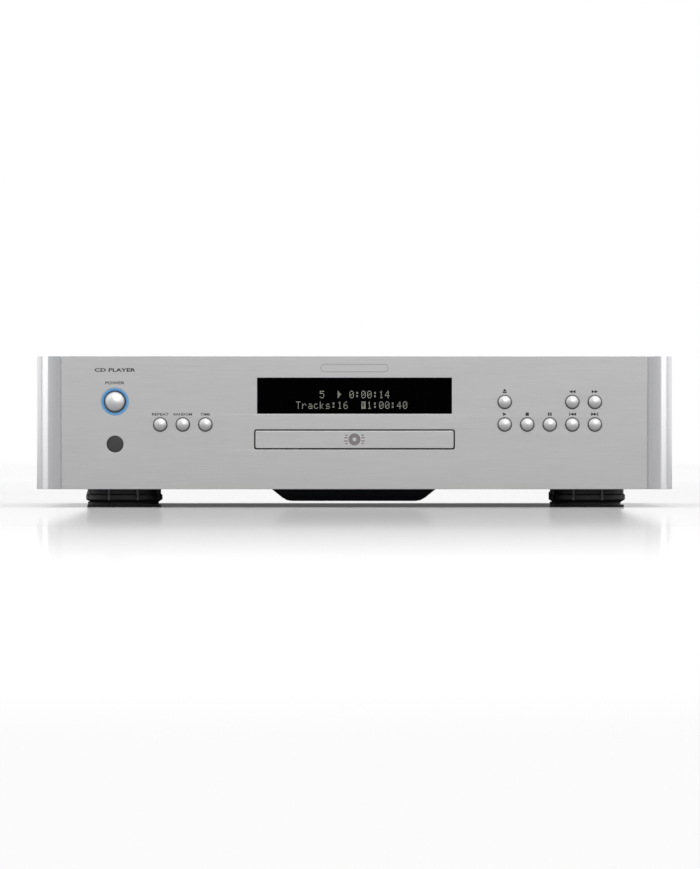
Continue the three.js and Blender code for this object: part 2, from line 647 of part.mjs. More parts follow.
// Large gear below, tray pinion above, bored for the frame's post. Its axis is at the origin.
function trayGear() {
  const teethBelow = raised(gearOutline(REDUCTION_MODULE, LARGE_TEETH, 0), 29.5, 32.5);
  const sleeve = bar('z', 5, 24.5, tray.rack + 0.5, [0, 0], 16);
  const gapTowardsRack = Math.PI + Math.PI / TRAY_TEETH;
  const pinion = raised(gearOutline(TRAY_MODULE, TRAY_TEETH, gapTowardsRack), tray.rack, tray.bottom - GAP);
  return cut(union(teethBelow, sleeve, pinion), bar('z', 1.9, 24, 41, [0, 0], 12));
}

// A belt pulley's profile: a shallow groove between two flanges.
const pulleyProfile = (groove, flange) => [
  [0, 34], [flange, 34], [flange, 34.5], [groove, 34.6], [groove, 36.4], [flange, 36.5], [flange, 37], [0, 37],
];

// Small gear below and a flanged pulley above, bored for the frame's post.
function beltPulley() {
  const gapTowardsGear = Math.PI + Math.PI / SMALL_TEETH;
  const teeth = raised(gearOutline(REDUCTION_MODULE, SMALL_TEETH, gapTowardsGear), 28.8, 34.3);
  const groove = pulley.radius - 0.3;
  const wheel = turned(pulleyProfile(groove, pulley.radius + 1), 28);
  const sleeve = bar('z', 4.4, 24.5, 29.5, [0, 0], 14);
  return cut(union(teeth, wheel, sleeve), bar('z', 1.9, 24, 38, [0, 0], 12));
}

// The belt's loop round both pulleys, as tangent lines joined by arcs.
function driveBelt() {
  const spread = Math.acos((pulley.radius - motor.pulley) / (motor.x - pulley.x));
  const loop = (grow) => {
    const shape = new THREE.Shape();
    shape.absarc(pulley.x, gear.y, pulley.radius + grow, spread, 2 * Math.PI - spread);
    shape.absarc(motor.x, gear.y, motor.pulley + grow, -spread, spread);
    return shape;
  };
  const shape = loop(belt.thickness);
  shape.holes = [loop(0)];
  return raised(shape, belt.low, belt.high, 16);
}

function loader() {
  const loadingMotor = union(bar('z', motor.radius, 20.6, 32.4, [0, 0]), bar('z', 3, 32, 33.4, [0, 0], 12));
  const motorPulley = turned(pulleyProfile(motor.pulley - 0.3, motor.pulley + 1.2), 14);
  return assembly(
    part('loader_frame', loaderFrame(), deckPlastic),
    part('clamp_bridge', clampBridge(), zincSteel),
    part('disc_tray', discTray(), blackPlastic),
    part('tray_door', trayDoor(), brushedAluminium),
    part('tray_gear', trayGear(), whitePlastic, [gear.x, gear.y, 0]),
    part('belt_pulley', beltPulley(), whitePlastic, [pulley.x, gear.y, 0]),
    part('loading_motor', loadingMotor, brightSteel, [motor.x, gear.y, 0]),
    part('motor_pulley', motorPulley, whitePlastic, [motor.x, gear.y, 0]),
    part('drive_belt', driveBelt(), beltRubber),
  );
}

// ---------------------------------------------------------------- traverse: spindle, sled and clamp

function traverseDeck() {
  const { halfWidth: w, front, rear, bottom, under, top } = deck;
  const rim = 2;
  const plate = block([-w, w], [front, rear], [under, top]);
  const skirt = block([-w, w], [front, rear], [bottom, top]);
  const hollow = block([-w + rim, w - rim], [front + rim, rear - rim], [bottom - 1, under]);
  const trunnions = [-1, 1].map((side) => {
    const [a, b] = [side * (w - 1), side * 60].sort((p, q) => p - q);
    return bar('x', hinge.radius, a, b, [hinge.y, hinge.z], 12);
  });
  const lugs = [-69.5, 8.5].flatMap((y) =>
    [-sled.rod, sled.rod].map((x) => block([x - 4, x + 4], [y, y + 3.5], [27, under + 0.5])),
  );
  const sledWell = block([-32, 32], [-66, 8.5], [bottom - 1, top + 1]);
  const motorWell = bar('z', 12.4, bottom - 1, top + 1, [0, disc.y]);
  const driveWell = block([17, 33], [12, 27], [bottom - 1, top + 1]);
  const bores = [-sled.rod, sled.rod].map((x) => bar('y', 1.9, -75, 14, [x, sled.axis], 12));
  const body = union(plate, cut(skirt, hollow), ...trunnions, ...lugs);
  return cut(body, sledWell, motorWell, driveWell, ...bores);
}

function pickupSled() {
  const { front, rear, rod, axis } = sled;
  const body = block([-18, 18], [front, rear], [28, 39.5]);
  const bush = block([-rod - 5, -17], [front + 6, rear - 4], [axis - 3.6, axis + 3.6]);
  const arm = block([17, rod - 2.4], [front + 6, rear - 8], [axis - 3, axis + 3]);
  const prong = block([rod - 3, rod + 2], [front + 8, rear - 10], [axis + 2.3, axis + 4.6]);
  const link = block([17, rod - 2.4], [front + 8, rear - 10], [axis, axis + 4.6]);
  return cut(union(body, bush, arm, link, prong), bar('y', 1.9, front, rear, [-rod, axis], 12));
}

function traverse() {
  const lens = turned([[0, 40.1], [3.6, 40.1], [3.6, 41.6], [2.6, 42.5], [0, 43]], 16);
  const spindleMotor = turned([[0, 25], [12, 25], [12, 37], [5, 37], [5, 39.4], [0, 39.4]], 24);
  const turntable = turned(
    [[0, 39.9], [3, 39.9], [3, 43], [15, 43], [15, 44.8], [7.4, 44.8], [7.2, 46.2], [5.8, 48], [0, 48]],
    28,
  );
  const puck = turned(
    [[0, 49.5], [8.6, 49.5], [8.6, 46.3], [13.5, 46.3], [13.5, 53], [18.5, 53], [18.5, 54.5], [0, 54.5]],
    28,
  );
  return assembly(
    part('traverse_deck', traverseDeck(), deckPlastic),
    part('guide_rod', bar('y', 1.5, -69, 11.5, [0, 0], 12), brightSteel, [-sled.rod, 0, sled.axis]),
    part('lead_screw', bar('y', 1.5, -69, 12.2, [0, 0], 12), brightSteel, [sled.rod, 0, sled.axis]),
    part('sled_motor', bar('y', 5.8, 12.6, 26.4, [0, 0], 16), brightSteel, [sled.rod, 0, sled.axis]),
    part('pickup_sled', pickupSled(), blackSteel),
    part('objective_lens', lens, glass, [0, LENS_Y, 0]),
    part('spindle_motor', spindleMotor, brightSteel, [0, disc.y, 0]),
    part('turntable', turntable, blackPlastic, [0, disc.y, 0]),
    part('clamp_puck', puck, whitePlastic, [0, disc.y, 0]),
  );
}

const player = assembly(frontAssembly(), casing(), sockets(), electronics(), loader(), traverse());

export default player;
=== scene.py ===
import json
import math

import bmesh
import bpy
from mathutils import Matrix, Vector

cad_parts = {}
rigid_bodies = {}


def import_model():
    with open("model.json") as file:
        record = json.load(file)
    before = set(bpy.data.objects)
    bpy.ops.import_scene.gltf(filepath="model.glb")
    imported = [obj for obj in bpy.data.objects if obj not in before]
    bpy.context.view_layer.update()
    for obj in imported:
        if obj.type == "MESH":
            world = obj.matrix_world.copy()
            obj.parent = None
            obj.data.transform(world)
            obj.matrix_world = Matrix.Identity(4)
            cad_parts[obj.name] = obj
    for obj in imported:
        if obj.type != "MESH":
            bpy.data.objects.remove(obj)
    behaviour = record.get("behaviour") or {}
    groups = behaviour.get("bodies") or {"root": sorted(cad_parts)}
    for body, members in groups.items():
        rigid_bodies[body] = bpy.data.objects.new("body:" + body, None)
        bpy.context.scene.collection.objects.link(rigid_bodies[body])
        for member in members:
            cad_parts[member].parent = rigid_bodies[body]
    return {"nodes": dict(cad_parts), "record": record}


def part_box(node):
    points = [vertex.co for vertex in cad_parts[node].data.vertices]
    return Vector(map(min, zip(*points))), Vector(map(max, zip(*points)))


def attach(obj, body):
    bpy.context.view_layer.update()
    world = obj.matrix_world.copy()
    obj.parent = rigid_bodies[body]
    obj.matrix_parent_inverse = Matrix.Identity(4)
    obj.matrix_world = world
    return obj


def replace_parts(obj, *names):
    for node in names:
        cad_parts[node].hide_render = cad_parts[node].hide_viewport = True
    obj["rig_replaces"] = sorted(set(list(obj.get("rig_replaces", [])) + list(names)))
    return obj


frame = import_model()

# Geometry below is written in millimetres in the CAD frame, and made in metres.
MM = 0.001
TURN = 2 * math.pi
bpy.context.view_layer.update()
FRONT, REAR = -153.0, 146.0  # outer faces of the front and rear panels


def middle(node):
    """The centre of a CAD node's box, in millimetres."""
    return tuple(round((low + high) / 2 / MM, 3) for low, high in zip(*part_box(node)))


def add_node(tree, kind, inputs=(), **settings):
    """A new node in a tree. Each input gets a value, or a link when it is given another node's output."""
    made = tree.nodes.new(kind)
    for key, value in settings.items():
        setattr(made, key, value)
    for key, value in dict(inputs).items():
        if isinstance(value, bpy.types.NodeSocket):
            tree.links.new(value, made.inputs[key])
        else:
            made.inputs[key].default_value = value
    return made


# -------------------- materials


class Shader:
    """A node tree with one Principled shader, whose patterns run in object coordinates."""

    def __init__(self, name, color, roughness, metallic):
        self.material = bpy.data.materials.new(name)
        self.material.use_nodes = True
        self.tree = self.material.node_tree
        self.main = self.tree.nodes["Principled BSDF"]
        self.color = color
        self.set("Base Color", (*color, 1))
        self.set("Roughness", roughness)
        self.set("Metallic", metallic)
        self.place = self.node("ShaderNodeTexCoord").outputs["Object"]

    def node(self, kind, inputs=(), **settings):
        return add_node(self.tree, kind, inputs, **settings)

    def length(self, vector):
        return self.node("ShaderNodeVectorMath", {0: vector}, operation="LENGTH").outputs["Value"]

    def from_axis(self):
        """The distance in millimetres from the object's own y axis."""
        flat = self.node("ShaderNodeMapping", {"Vector": self.place, "Scale": (1 / MM, 0.0, 1 / MM)})
        return self.length(flat.outputs[0])

    def set(self, socket, value):
        self.main.inputs[socket].default_value = value

    def link(self, output, socket):
        self.tree.links.new(output, self.main.inputs[socket])

    def noise(self, size, detail=3.0, rough=0.55):
        """Noise whose grain is size = (x, y, z) millimetres."""
        scale = [1 / (MM * s) for s in size]
        mapped = self.node("ShaderNodeMapping", {"Vector": self.place, "Scale": scale})
        made = self.node(
            "ShaderNodeTexNoise",
            {"Vector": mapped.outputs[0], "Scale": 1.0, "Detail": detail, "Roughness": rough},
        )
        return made.outputs["Fac"]

    def rings(self, axis, size):
        """Noise that only changes with the distance from the object's own axis, as turning leaves it."""
        flat = [0.0 if i == "xyz".index(axis) else 1 / (MM * size) for i in range(3)]
        mapped = self.node("ShaderNodeMapping", {"Vector": self.place, "Scale": flat})
        inputs = {"W": self.length(mapped.outputs[0]), "Scale": 1.0, "Detail": 2.0}
        return self.node("ShaderNodeTexNoise", inputs, noise_dimensions="1D").outputs["Fac"]

    def math(self, operation, a, b):
        return self.node("ShaderNodeMath", {0: a, 1: b}, operation=operation).outputs[0]

    def span(self, value, low, high, start=0.3, end=0.7):
        """value from start..end carried to low..high."""
        inputs = {"Value": value, "From Min": start, "From Max": end, "To Min": low, "To Max": high}
        return self.node("ShaderNodeMapRange", inputs).outputs[0]

    def mix(self, share, a, b):
        made = self.node("ShaderNodeMix", data_type="RGBA")
        for socket, value in ((made.inputs[0], share), (made.inputs[6], a), (made.inputs[7], b)):
            if isinstance(value, bpy.types.NodeSocket):
                self.tree.links.new(value, socket)
            else:
                socket.default_value = value if isinstance(value, float) else (*value[:3], 1)
        return made.outputs[2]

    def bump(self, height, strength, distance):
        inputs = {"Height": height, "Strength": strength, "Distance": distance * MM}
        self.link(self.node("ShaderNodeBump", inputs).outputs[0], "Normal")

    def shade(self, amount):
        """The base colour made lighter (above 1) or darker."""
        return tuple(min(1.0, c * amount) for c in self.color)


def finish(
    name, color, roughness, metallic=0.0, grain=0.3, tone=0.05, spread=0.06, relief=0.02, strength=0.15,
    patch=0.04, turned=None, **sockets,
):
    """A finish with fine grain, or turning lines about an axis, and broad patches of tone and gloss.

    grain is the grain's size in millimetres, or its size along each axis.
    """
    s = Shader(name, color, roughness, metallic)
    fine = s.rings(turned, grain) if turned else s.noise(grain if isinstance(grain, tuple) else (grain,) * 3)
    broad = s.noise((18, 18, 18), detail=4.0)
    color_fine = s.mix(s.span(fine, 0.0, 1.0), s.shade(1 - tone), s.shade(1 + tone))
    color_out = s.mix(s.span(broad, 0.0, 2 * patch), color_fine, s.shade(0.6))
    s.link(color_out, "Base Color")
    half = spread / 2
    uneven = s.span(broad, roughness - half, roughness + half)
    s.link(s.math("ADD", s.span(fine, -half, half), uneven), "Roughness")
    s.bump(fine, strength, relief)
    for key, value in sockets.items():
        s.set(key.replace("_", " "), value)
    return s.material


def brushed(name, color, roughness, along, length, tone=0.035, anisotropy=0.5):
    """Metal brushed along one axis: fine lines, broader streaks and faint clouds."""
    s = Shader(name, color, roughness, 0.95)
    at = "xyz".index(along)
    lines = s.noise([length if i == at else 0.16 for i in range(3)], detail=2.0)
    streaks = s.noise([length * 0.6 if i == at else 0.9 for i in range(3)], detail=4.0, rough=0.7)
    clouds = s.noise([70 if i == at else 14 for i in range(3)], detail=3.0)
    pattern = s.math("ADD", s.math("MULTIPLY", lines, 0.45), s.math("MULTIPLY", streaks, 0.55))
    tinted = s.mix(s.span(pattern, 0.0, 1.0, 0.35, 0.65), s.shade(1 - tone), s.shade(1 + tone))
    s.link(s.mix(s.span(clouds, 0.0, 0.07), tinted, s.shade(0.75)), "Base Color")
    s.link(s.span(pattern, roughness - 0.04, roughness + 0.05, 0.35, 0.65), "Roughness")
    s.bump(pattern, 0.12, 0.01)
    s.set("Anisotropic", anisotropy)
    tangent = s.node("ShaderNodeTangent", direction_type="RADIAL", axis="Z")
    s.link(tangent.outputs[0], "Tangent")
    return s.material


def smoked(name, color, specular, roughness):
    """Acrylic: almost no surface texture, a little dust in the gloss."""
    s = Shader(name, color, roughness, 0.0)
    dust = s.noise((0.5, 0.5, 0.5), detail=5.0)
    smear = s.noise((30, 30, 9), detail=2.0)
    s.link(s.mix(s.span(dust, 0.0, 0.3, 0.6, 0.8), s.shade(1.0), s.shade(1.3)), "Base Color")
    s.link(s.span(smear, roughness * 0.7, roughness * 1.5), "Roughness")
    s.bump(smear, 0.02, 0.01)
    s.set("Specular IOR Level", specular)
    return s.material


def turned_button(name, radius, tone):
    """Turned metal, whose rounded shoulder is painted darker than its polished face: painted shade for the
    dark edge of the dome.
    """
    s = Shader(name, (tone, tone, tone + 0.005), 0.4, 1.0)
    lines = s.rings("y", 0.12)
    # rim: the painted shade mask, rising from the face towards the button's edge.
    rim = s.span(s.from_axis(), 0.0, 1.0, radius * 0.7, radius * 0.98)
    smear = s.noise((3, 3, 3))
    face = s.mix(s.span(lines, 0.0, 1.0), s.shade(0.96), s.shade(1.04))
    # The face darkened to near black by rim squared: painted shade round the shoulder.
    s.link(s.mix(s.math("MULTIPLY", rim, rim), face, (0.13, 0.13, 0.135)), "Base Color")
    s.link(s.span(smear, 0.37, 0.44), "Roughness")
    s.bump(lines, 0.12, 0.004)
    return s.material


LIGHT = {"bore": 7.3, "rim": 9.2}  # the light ring's radii


def lit_ring(name):
    """The light ring: blue, deeper towards its bore and top, paler at its outer edge."""
    s = Shader(name, (0.1, 0.27, 0.52), 0.25, 0.0)
    outward = s.span(s.from_axis(), 0.0, 1.0, LIGHT["bore"], LIGHT["rim"] + 0.1)
    height = s.node("ShaderNodeSeparateXYZ", {0: s.place}).outputs["Z"]
    low = s.span(height, 1.0, 0.0, -7 * MM, 8 * MM)
    glow = s.mix(outward, (0.03, 0.13, 0.3), (0.16, 0.36, 0.6))
    haze = s.noise((1.2, 1.2, 1.2))
    glow = s.mix(s.math("MULTIPLY", low, s.span(haze, 0.2, 0.35)), glow, (0.2, 0.45, 0.68))
    s.link(glow, "Base Color")
    s.link(glow, "Emission Color")
    s.link(s.span(haze, 0.2, 0.32), "Roughness")
    s.bump(haze, 0.05, 0.01)
    s.set("Emission Strength", 0.38)
    return s.material


def board_green(name):
    """Solder mask over copper tracks: a darker grid of lines, and a fibre weave under it."""
    s = Shader(name, (0.012, 0.085, 0.03), 0.35, 0.0)
    tracks = {
        "Vector": s.place, "Scale": 1 / (9 * MM),
        "Mortar Size": 0.055, "Brick Width": 1.3, "Row Height": 0.31,
        "Color1": (0.01, 0.075, 0.026, 1), "Color2": (0.014, 0.1, 0.036, 1), "Mortar": (0.035, 0.17, 0.07, 1),
    }
    brick = s.node("ShaderNodeTexBrick", tracks)
    weave = s.noise((0.5, 0.5, 0.5))
    s.link(s.mix(s.span(weave, 0.0, 0.25), brick.outputs["Color"], (0.01, 0.06, 0.02)), "Base Color")
    s.link(s.span(weave, 0.28, 0.42), "Roughness")
    s.bump(brick.outputs["Fac"], 0.2, 0.05)
    return s.material


WRAPS = 46  # turns of tape that show round the toroid


def winding(name):
    """A toroid's wrap: yellow-brown tape laid on in overlapping radial turns."""
    s = Shader(name, (0.33, 0.2, 0.05), 0.35, 0.0)
    parts = s.node("ShaderNodeSeparateXYZ", {0: s.place}).outputs
    angle = s.math("ARCTAN2", parts["Y"], parts["X"])
    turns = s.math("FRACT", s.math("MULTIPLY", angle, WRAPS / TURN), 0.0)
    wobble = s.noise((6, 6, 14))
    s.link(s.mix(s.span(turns, 0.0, 1.0, 0.0, 1.0), (0.2, 0.11, 0.02), (0.42, 0.27, 0.08)), "Base Color")
    s.link(s.span(wobble, 0.22, 0.5), "Roughness")
    s.bump(turns, 0.5, 0.2)
    return s.material


FINISHES = {
    "brushed_panel": brushed("brushed_panel", (0.815, 0.815, 0.815), 0.4, "x", 42),
    "satin_cap": brushed("satin_cap", (0.86, 0.86, 0.88), 0.15, "z", 30, tone=0.012, anisotropy=0.0),
    "button_metal": turned_button("button_metal", 4.5, 0.84),
    "display_acrylic": smoked("display_acrylic", (0.0003, 0.0003, 0.0003), 0.012, 0.06),
    "sensor_acrylic": smoked("sensor_acrylic", (0.07, 0.07, 0.072), 0.25, 0.3),
    "blue_light": lit_ring("blue_light"),
    "circuit_board": board_green("circuit_board"),
    "winding_tape": winding("winding_tape"),
}
# (name, colour, roughness, metallic, the rest)
for row in (
    ("silver_paint", (0.36, 0.36, 0.37), 0.46, 0.55, dict(grain=0.35, tone=0.08)),
    (
        "black_steel", (0.023, 0.023, 0.029), 0.5, 0.0,
        dict(grain=0.45, relief=0.05, strength=0.3, Specular_IOR_Level=0.25),
    ),
    ("zinc_steel", (0.38, 0.395, 0.41), 0.36, 1.0, dict(grain=2.2, tone=0.09, spread=0.14, relief=0.01)),
    ("bright_steel", (0.66, 0.67, 0.68), 0.2, 1.0, dict(grain=(0.2, 0.2, 3.0), tone=0.03, relief=0.004)),
    ("black_anodised", (0.015, 0.015, 0.017), 0.38, 0.4, dict(grain=(0.2, 0.2, 2.0))),
    ("black_plastic", (0.02, 0.02, 0.021), 0.42, 0.0, dict(relief=0.03)),
    ("deck_plastic", (0.03, 0.031, 0.034), 0.5, 0.0, dict(grain=0.5, relief=0.05)),
    ("white_plastic", (0.72, 0.7, 0.64), 0.4, 0.0, dict(grain=0.6, tone=0.03, relief=0.01, patch=0.06)),
    (
        "pad_felt", (0.01, 0.01, 0.01), 0.95, 0.0,
        dict(grain=0.25, tone=0.4, relief=0.15, strength=0.7, Sheen_Weight=0.3),
    ),
    ("belt_rubber", (0.012, 0.012, 0.012), 0.75, 0.0, dict(grain=0.4, relief=0.04)),
    (
        "clear_glass", (0.16, 0.2, 0.26), 0.06, 0.0,
        dict(grain=2.0, tone=0.02, spread=0.03, relief=0.002, Coat_Weight=0.6),
    ),
    ("capacitor_sleeve", (0.012, 0.02, 0.075), 0.3, 0.0, dict(grain=1.4, relief=0.01, Coat_Weight=0.3)),
    ("digital_jack", (0.6, 0.17, 0.02), 0.35, 0.0, dict(grain=0.5, relief=0.01)),
):
    FINISHES[row[0]] = finish(*row[:4], **row[4])
power_metal = turned_button("power_metal", 6.9, 0.95)
gold = finish("gold_plate", (0.83, 0.6, 0.25), 0.22, 1.0, grain=0.25, turned="y", relief=0.003)
white_insulator = finish("white_insulator", (0.74, 0.74, 0.7), 0.4, grain=0.5, relief=0.01)
red_insulator = finish("red_insulator", (0.5, 0.02, 0.015), 0.4, grain=0.5, relief=0.01)
ink = dict(grain=0.12, tone=0.2, relief=0.004)
front_ink = finish("front_ink", (0.022, 0.022, 0.023), 0.6, **ink)
emblem_ink = finish("emblem_ink", (0.27, 0.24, 0.245), 0.5, **ink)
rear_ink = finish("rear_ink", (0.6, 0.6, 0.6), 0.55, grain=0.12, tone=0.15, relief=0.004)
# Grey for the foot's ribs: a painted highlight, for the light that the foot's notches catch.
grip_highlight_gray = finish("grip_highlight_gray", (0.22, 0.22, 0.222), 0.5)
engraved = brushed("engraved_panel", (0.58, 0.58, 0.585), 0.44, "x", 20)
dot_light = Shader("dot_light", (0.02, 0.02, 0.018), 0.4, 0.0)
uneven = dot_light.span(dot_light.noise((3, 3, 3)), 0.0, 1.0)
dot_light.link(dot_light.mix(uneven, (0.33, 0.33, 0.28), (0.45, 0.45, 0.39)), "Emission Color")
dot_light.set("Emission Strength", 1.0)

# -------------------- mesh helpers


def outfit(obj, body, slot, material=None, stands_for=(), sharp=32):
    """Gives a finished object its body, its material (its slot's finish unless one is given) and its smooth
    or sharp edges.
    """
    obj.data.materials.clear()
    obj.data.materials.append(material or FINISHES[slot])
    for polygon in obj.data.polygons:
        polygon.use_smooth = True
    obj.data.set_sharp_from_angle(angle=math.radians(sharp))
    even = obj.modifiers.new("even", "WEIGHTED_NORMAL")
    even.keep_sharp = True
    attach(obj, body)
    if stands_for:
        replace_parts(obj, *([stands_for] if isinstance(stands_for, str) else stands_for))
    return obj


def place(name, mesh, at=(0, 0, 0)):
    mesh.name = name
    obj = bpy.data.objects.new(name, mesh)
    obj.location = [v * MM for v in at]
    bpy.context.scene.collection.objects.link(obj)
    return obj


def as_mesh(bm, turn=None):
    bmesh.ops.recalc_face_normals(bm, faces=bm.faces)
    if turn is not None:
        bm.transform(turn)
    bm.transform(Matrix.Scale(MM, 4))
    mesh = bpy.data.meshes.new("piece")
    bm.to_mesh(mesh)
    bm.free()
    return mesh


def evaluated(obj, *helpers):
    """The mesh that an object comes to. The object and its helpers are removed."""
    graph = bpy.context.evaluated_depsgraph_get()
    mesh = bpy.data.meshes.new_from_object(obj.evaluated_get(graph), depsgraph=graph)
    for extra in (obj, *helpers):
        bpy.data.objects.remove(extra)
    return mesh


# Turns local (u, v, w) so that w runs along x or z, or against y. Then u and v are y and z for 'x',
# and x and z for 'y'.
ALONG = {
    "z": Matrix.Identity(4),
    "y": Matrix(((1, 0, 0, 0), (0, 0, -1, 0), (0, 1, 0, 0), (0, 0, 0, 1))),
    "x": Matrix(((0, 0, 1, 0), (1, 0, 0, 0), (0, 1, 0, 0), (0, 0, 0, 1))),
}


def soften(points, radius, closed=True, steps=3):
    """The outline with every corner rounded. A third number on a point is its own radius."""
    count = len(points)
    made = []
    for i, point in enumerate(points):
        here = Vector(point[:2])
        r = point[2] if len(point) > 2 else radius
        if r <= 0 or (not closed and i in (0, count - 1)):
            made.append(tuple(here))
            continue
        before, after = Vector(points[i - 1][:2]) - here, Vector(points[(i + 1) % count][:2]) - here
        if before.length < 1e-6 or after.length < 1e-6:
            made.append(tuple(here))
            continue
        half = before.angle(after) / 2
        reach = min(r / max(math.tan(half), 0.05), 0.49 * before.length, 0.49 * after.length)
        a, b = here + before.normalized() * reach, here + after.normalized() * reach
        for k in range(steps + 1):
            t = k / steps
            made.append(tuple((1 - t) ** 2 * a + 2 * t * (1 - t) * here + t * t * b))
    return made


def ring(u, v, radius, sides=48):
    angles = [TURN * k / sides for k in range(sides)]
    return [(u + radius * math.cos(angle), v + radius * math.sin(angle)) for angle in angles]


def rectangle(u, v, width, height, radius=0.0, steps=5):
    w, h = width / 2, height / 2
    corners = [(u - w, v - h), (u + w, v - h), (u + w, v + h), (u - w, v + h)]
    return soften(corners, radius, steps=steps) if radius else corners


def plate(outlines, low, high, edge, axis="y", steps=1):
    """A flat piece with eased edges, between low and high along its axis: a rim, then its holes."""
    curve = bpy.data.curves.new("outline", "CURVE")
    curve.dimensions = "2D"
    curve.fill_mode = "BOTH"
    curve.extrude = (high - low) / 2 - edge
    curve.bevel_depth = edge
    curve.bevel_resolution = steps
    curve.offset = -edge
    for points in outlines:
        spline = curve.splines.new("POLY")
        spline.points.add(len(points) - 1)
        for target, (u, v) in zip(spline.points, points):
            target.co = (u, v, 0, 1)
        spline.use_cyclic_u = True
    mesh = evaluated(place("outline", curve))
    bm = bmesh.new()
    bm.from_mesh(mesh)
    bpy.data.meshes.remove(mesh)
    bmesh.ops.remove_doubles(bm, verts=bm.verts, dist=1e-4)
    centre = (low + high) / 2
    shift = {"x": (centre, 0, 0), "y": (0, centre, 0), "z": (0, 0, centre)}[axis]
    return as_mesh(bm, Matrix.Translation(shift) @ ALONG[axis])


def lathe(profile, axis="y", sides=64, ripple=None):
    """A profile of (radius, place along the axis) turned about the object's own axis.

    ripple(angle, radius, place) gives a radius that changes round the turn.
    """
    bm = bmesh.new()
    rows = []
    for r, h in profile:
        if r < 1e-6:
            rows.append([bm.verts.new((0, 0, h))])
            continue
        row = []
        for k in range(sides):
            angle = TURN * k / sides
            reach = ripple(angle, r, h) if ripple else r
            row.append(bm.verts.new((reach * math.cos(angle), reach * math.sin(angle), h)))
        rows.append(row)
    closed = profile[0][0] > 1e-6 and profile[-1][0] > 1e-6
    pairs = list(zip(rows, rows[1:])) + ([(rows[-1], rows[0])] if closed else [])
    for a, b in pairs:
        for k in range(sides):
            n = (k + 1) % sides
            if len(a) == 1:
                bm.faces.new((a[0], b[k], b[n]))
            elif len(b) == 1:
                bm.faces.new((a[k], b[0], a[n]))
            else:
                bm.faces.new((a[k], b[k], b[n], a[n]))
    # The local axis is w, so places along 'y' are mirrored by ALONG and are given back here.
    flip = Matrix.Scale(-1, 4, (0, 0, 1)) if axis == "y" else Matrix.Identity(4)
    return as_mesh(bm, ALONG[axis] @ flip)


def cube(low, high, edge, segments=2):
    """A block with eased edges between two corners."""
    bm = bmesh.new()
    bmesh.ops.create_cube(bm, size=1)
    size = [b - a for a, b in zip(low, high)]
    bm.transform(Matrix.Translation([(a + b) / 2 for a, b in zip(low, high)]) @ Matrix.Diagonal((*size, 1)))
    bmesh.ops.bevel(bm, geom=bm.edges[:], offset=edge, segments=segments, profile=0.5, affect="EDGES")
    return as_mesh(bm)


def joined(name, meshes, body, slot, material=None, stands_for=(), at=(0, 0, 0)):
    """Several meshes as one piece."""
    bm = bmesh.new()
    for mesh in meshes:
        bm.from_mesh(mesh)
        bpy.data.meshes.remove(mesh)
    mesh = bpy.data.meshes.new(name)
    bm.to_mesh(mesh)
    bm.free()
    return outfit(place(name, mesh, at), body, slot, material, stands_for)


def moved(mesh, x=0, y=0, z=0):
    mesh.transform(Matrix.Translation([v * MM for v in (x, y, z)]))
    return mesh


def carved(name, solid, tools, edge):
    """The solid mesh minus the tool meshes, with its sharp edges eased."""
    obj = place(name, solid)
    helpers = [place("tool", tool) for tool in tools]
    for helper in helpers:
        step = obj.modifiers.new("cut", "BOOLEAN")
        step.operation, step.solver, step.object = "DIFFERENCE", "EXACT", helper
    ease = obj.modifiers.new("ease", "BEVEL")
    ease.width, ease.segments, ease.limit_method, ease.angle_limit = edge * MM, 2, "ANGLE", math.radians(35)
    ease.use_clamp_overlap = True
    return evaluated(obj, *helpers)


INK = 0.04  # the print's thickness


def lettering(text, u, v, height, width=None, facing=-1, surface=FRONT, bold=0.018):
    """Generic words, fitted to a height and width, on a face that looks along -y (facing -1) or +y."""
    curve = bpy.data.curves.new("words", "FONT")
    curve.body = text
    curve.align_x, curve.align_y = "CENTER", "CENTER"
    curve.extrude = INK / 2
    curve.offset = bold
    curve.resolution_u = 3
    mesh = evaluated(place("words", curve))
    xs, ys = [p.co.x for p in mesh.vertices], [p.co.y for p in mesh.vertices]
    tall, wide = max(ys) - min(ys), max(xs) - min(xs)
    sy = height / tall
    sx = width / wide if width else sy
    centre = Matrix.Translation((-(max(xs) + min(xs)) / 2, -(max(ys) + min(ys)) / 2, 0))
    mesh.transform(Matrix.Diagonal((sx, sy, 1, 1)) @ centre)
    turn = ALONG["y"] if facing < 0 else Matrix.Rotation(math.pi, 4, "Z") @ ALONG["y"]
    mesh.transform(Matrix.Scale(MM, 4) @ Matrix.Translation((u, surface, v)) @ turn)
    return mesh


def sign(polygons, surface=FRONT, depth=INK):
    """Flat polygons in (x, z) as thin print on the front."""
    bm = bmesh.new()
    for points in polygons:
        front = [bm.verts.new((u, surface - depth / 2, v)) for u, v in points]
        back = [bm.verts.new((u, surface + depth / 2, v)) for u, v in points]
        bm.faces.new(front)
        bm.faces.new(back[::-1])
        for k in range(len(points)):
            n = (k + 1) % len(points)
            bm.faces.new((front[k], back[k], back[n], front[n]))
    return as_mesh(bm)


def band(outer, inner):
    """Quads that fill the space between two outlines of the same number of points."""
    return [[outer[k - 1], outer[k], inner[k], inner[k - 1]] for k in range(len(outer))]


# -------------------- front panel and end caps
# Places across and up the front, from the CAD nodes.
ROW = ("play", "stop", "pause", "track_back", "track_forward")
NAMES = ("repeat", "random", "time", "open_close", "search_back", "search_forward", *ROW)
BUTTONS = {name: middle(f"button_{name}")[::2] for name in NAMES}
POWER, SENSOR = middle("button_power")[::2], middle("remote_sensor_window")[::2]
PANE_Z, DOOR_Z = middle("display_window")[2], middle("tray_door")[2]
PANE, DOOR = (131, 24.0), (133.6, 11.8)  # width and height
PANE_FRONT, BEHIND = -152.2, -149.4  # the window's front face, and the back of the window and the tray door

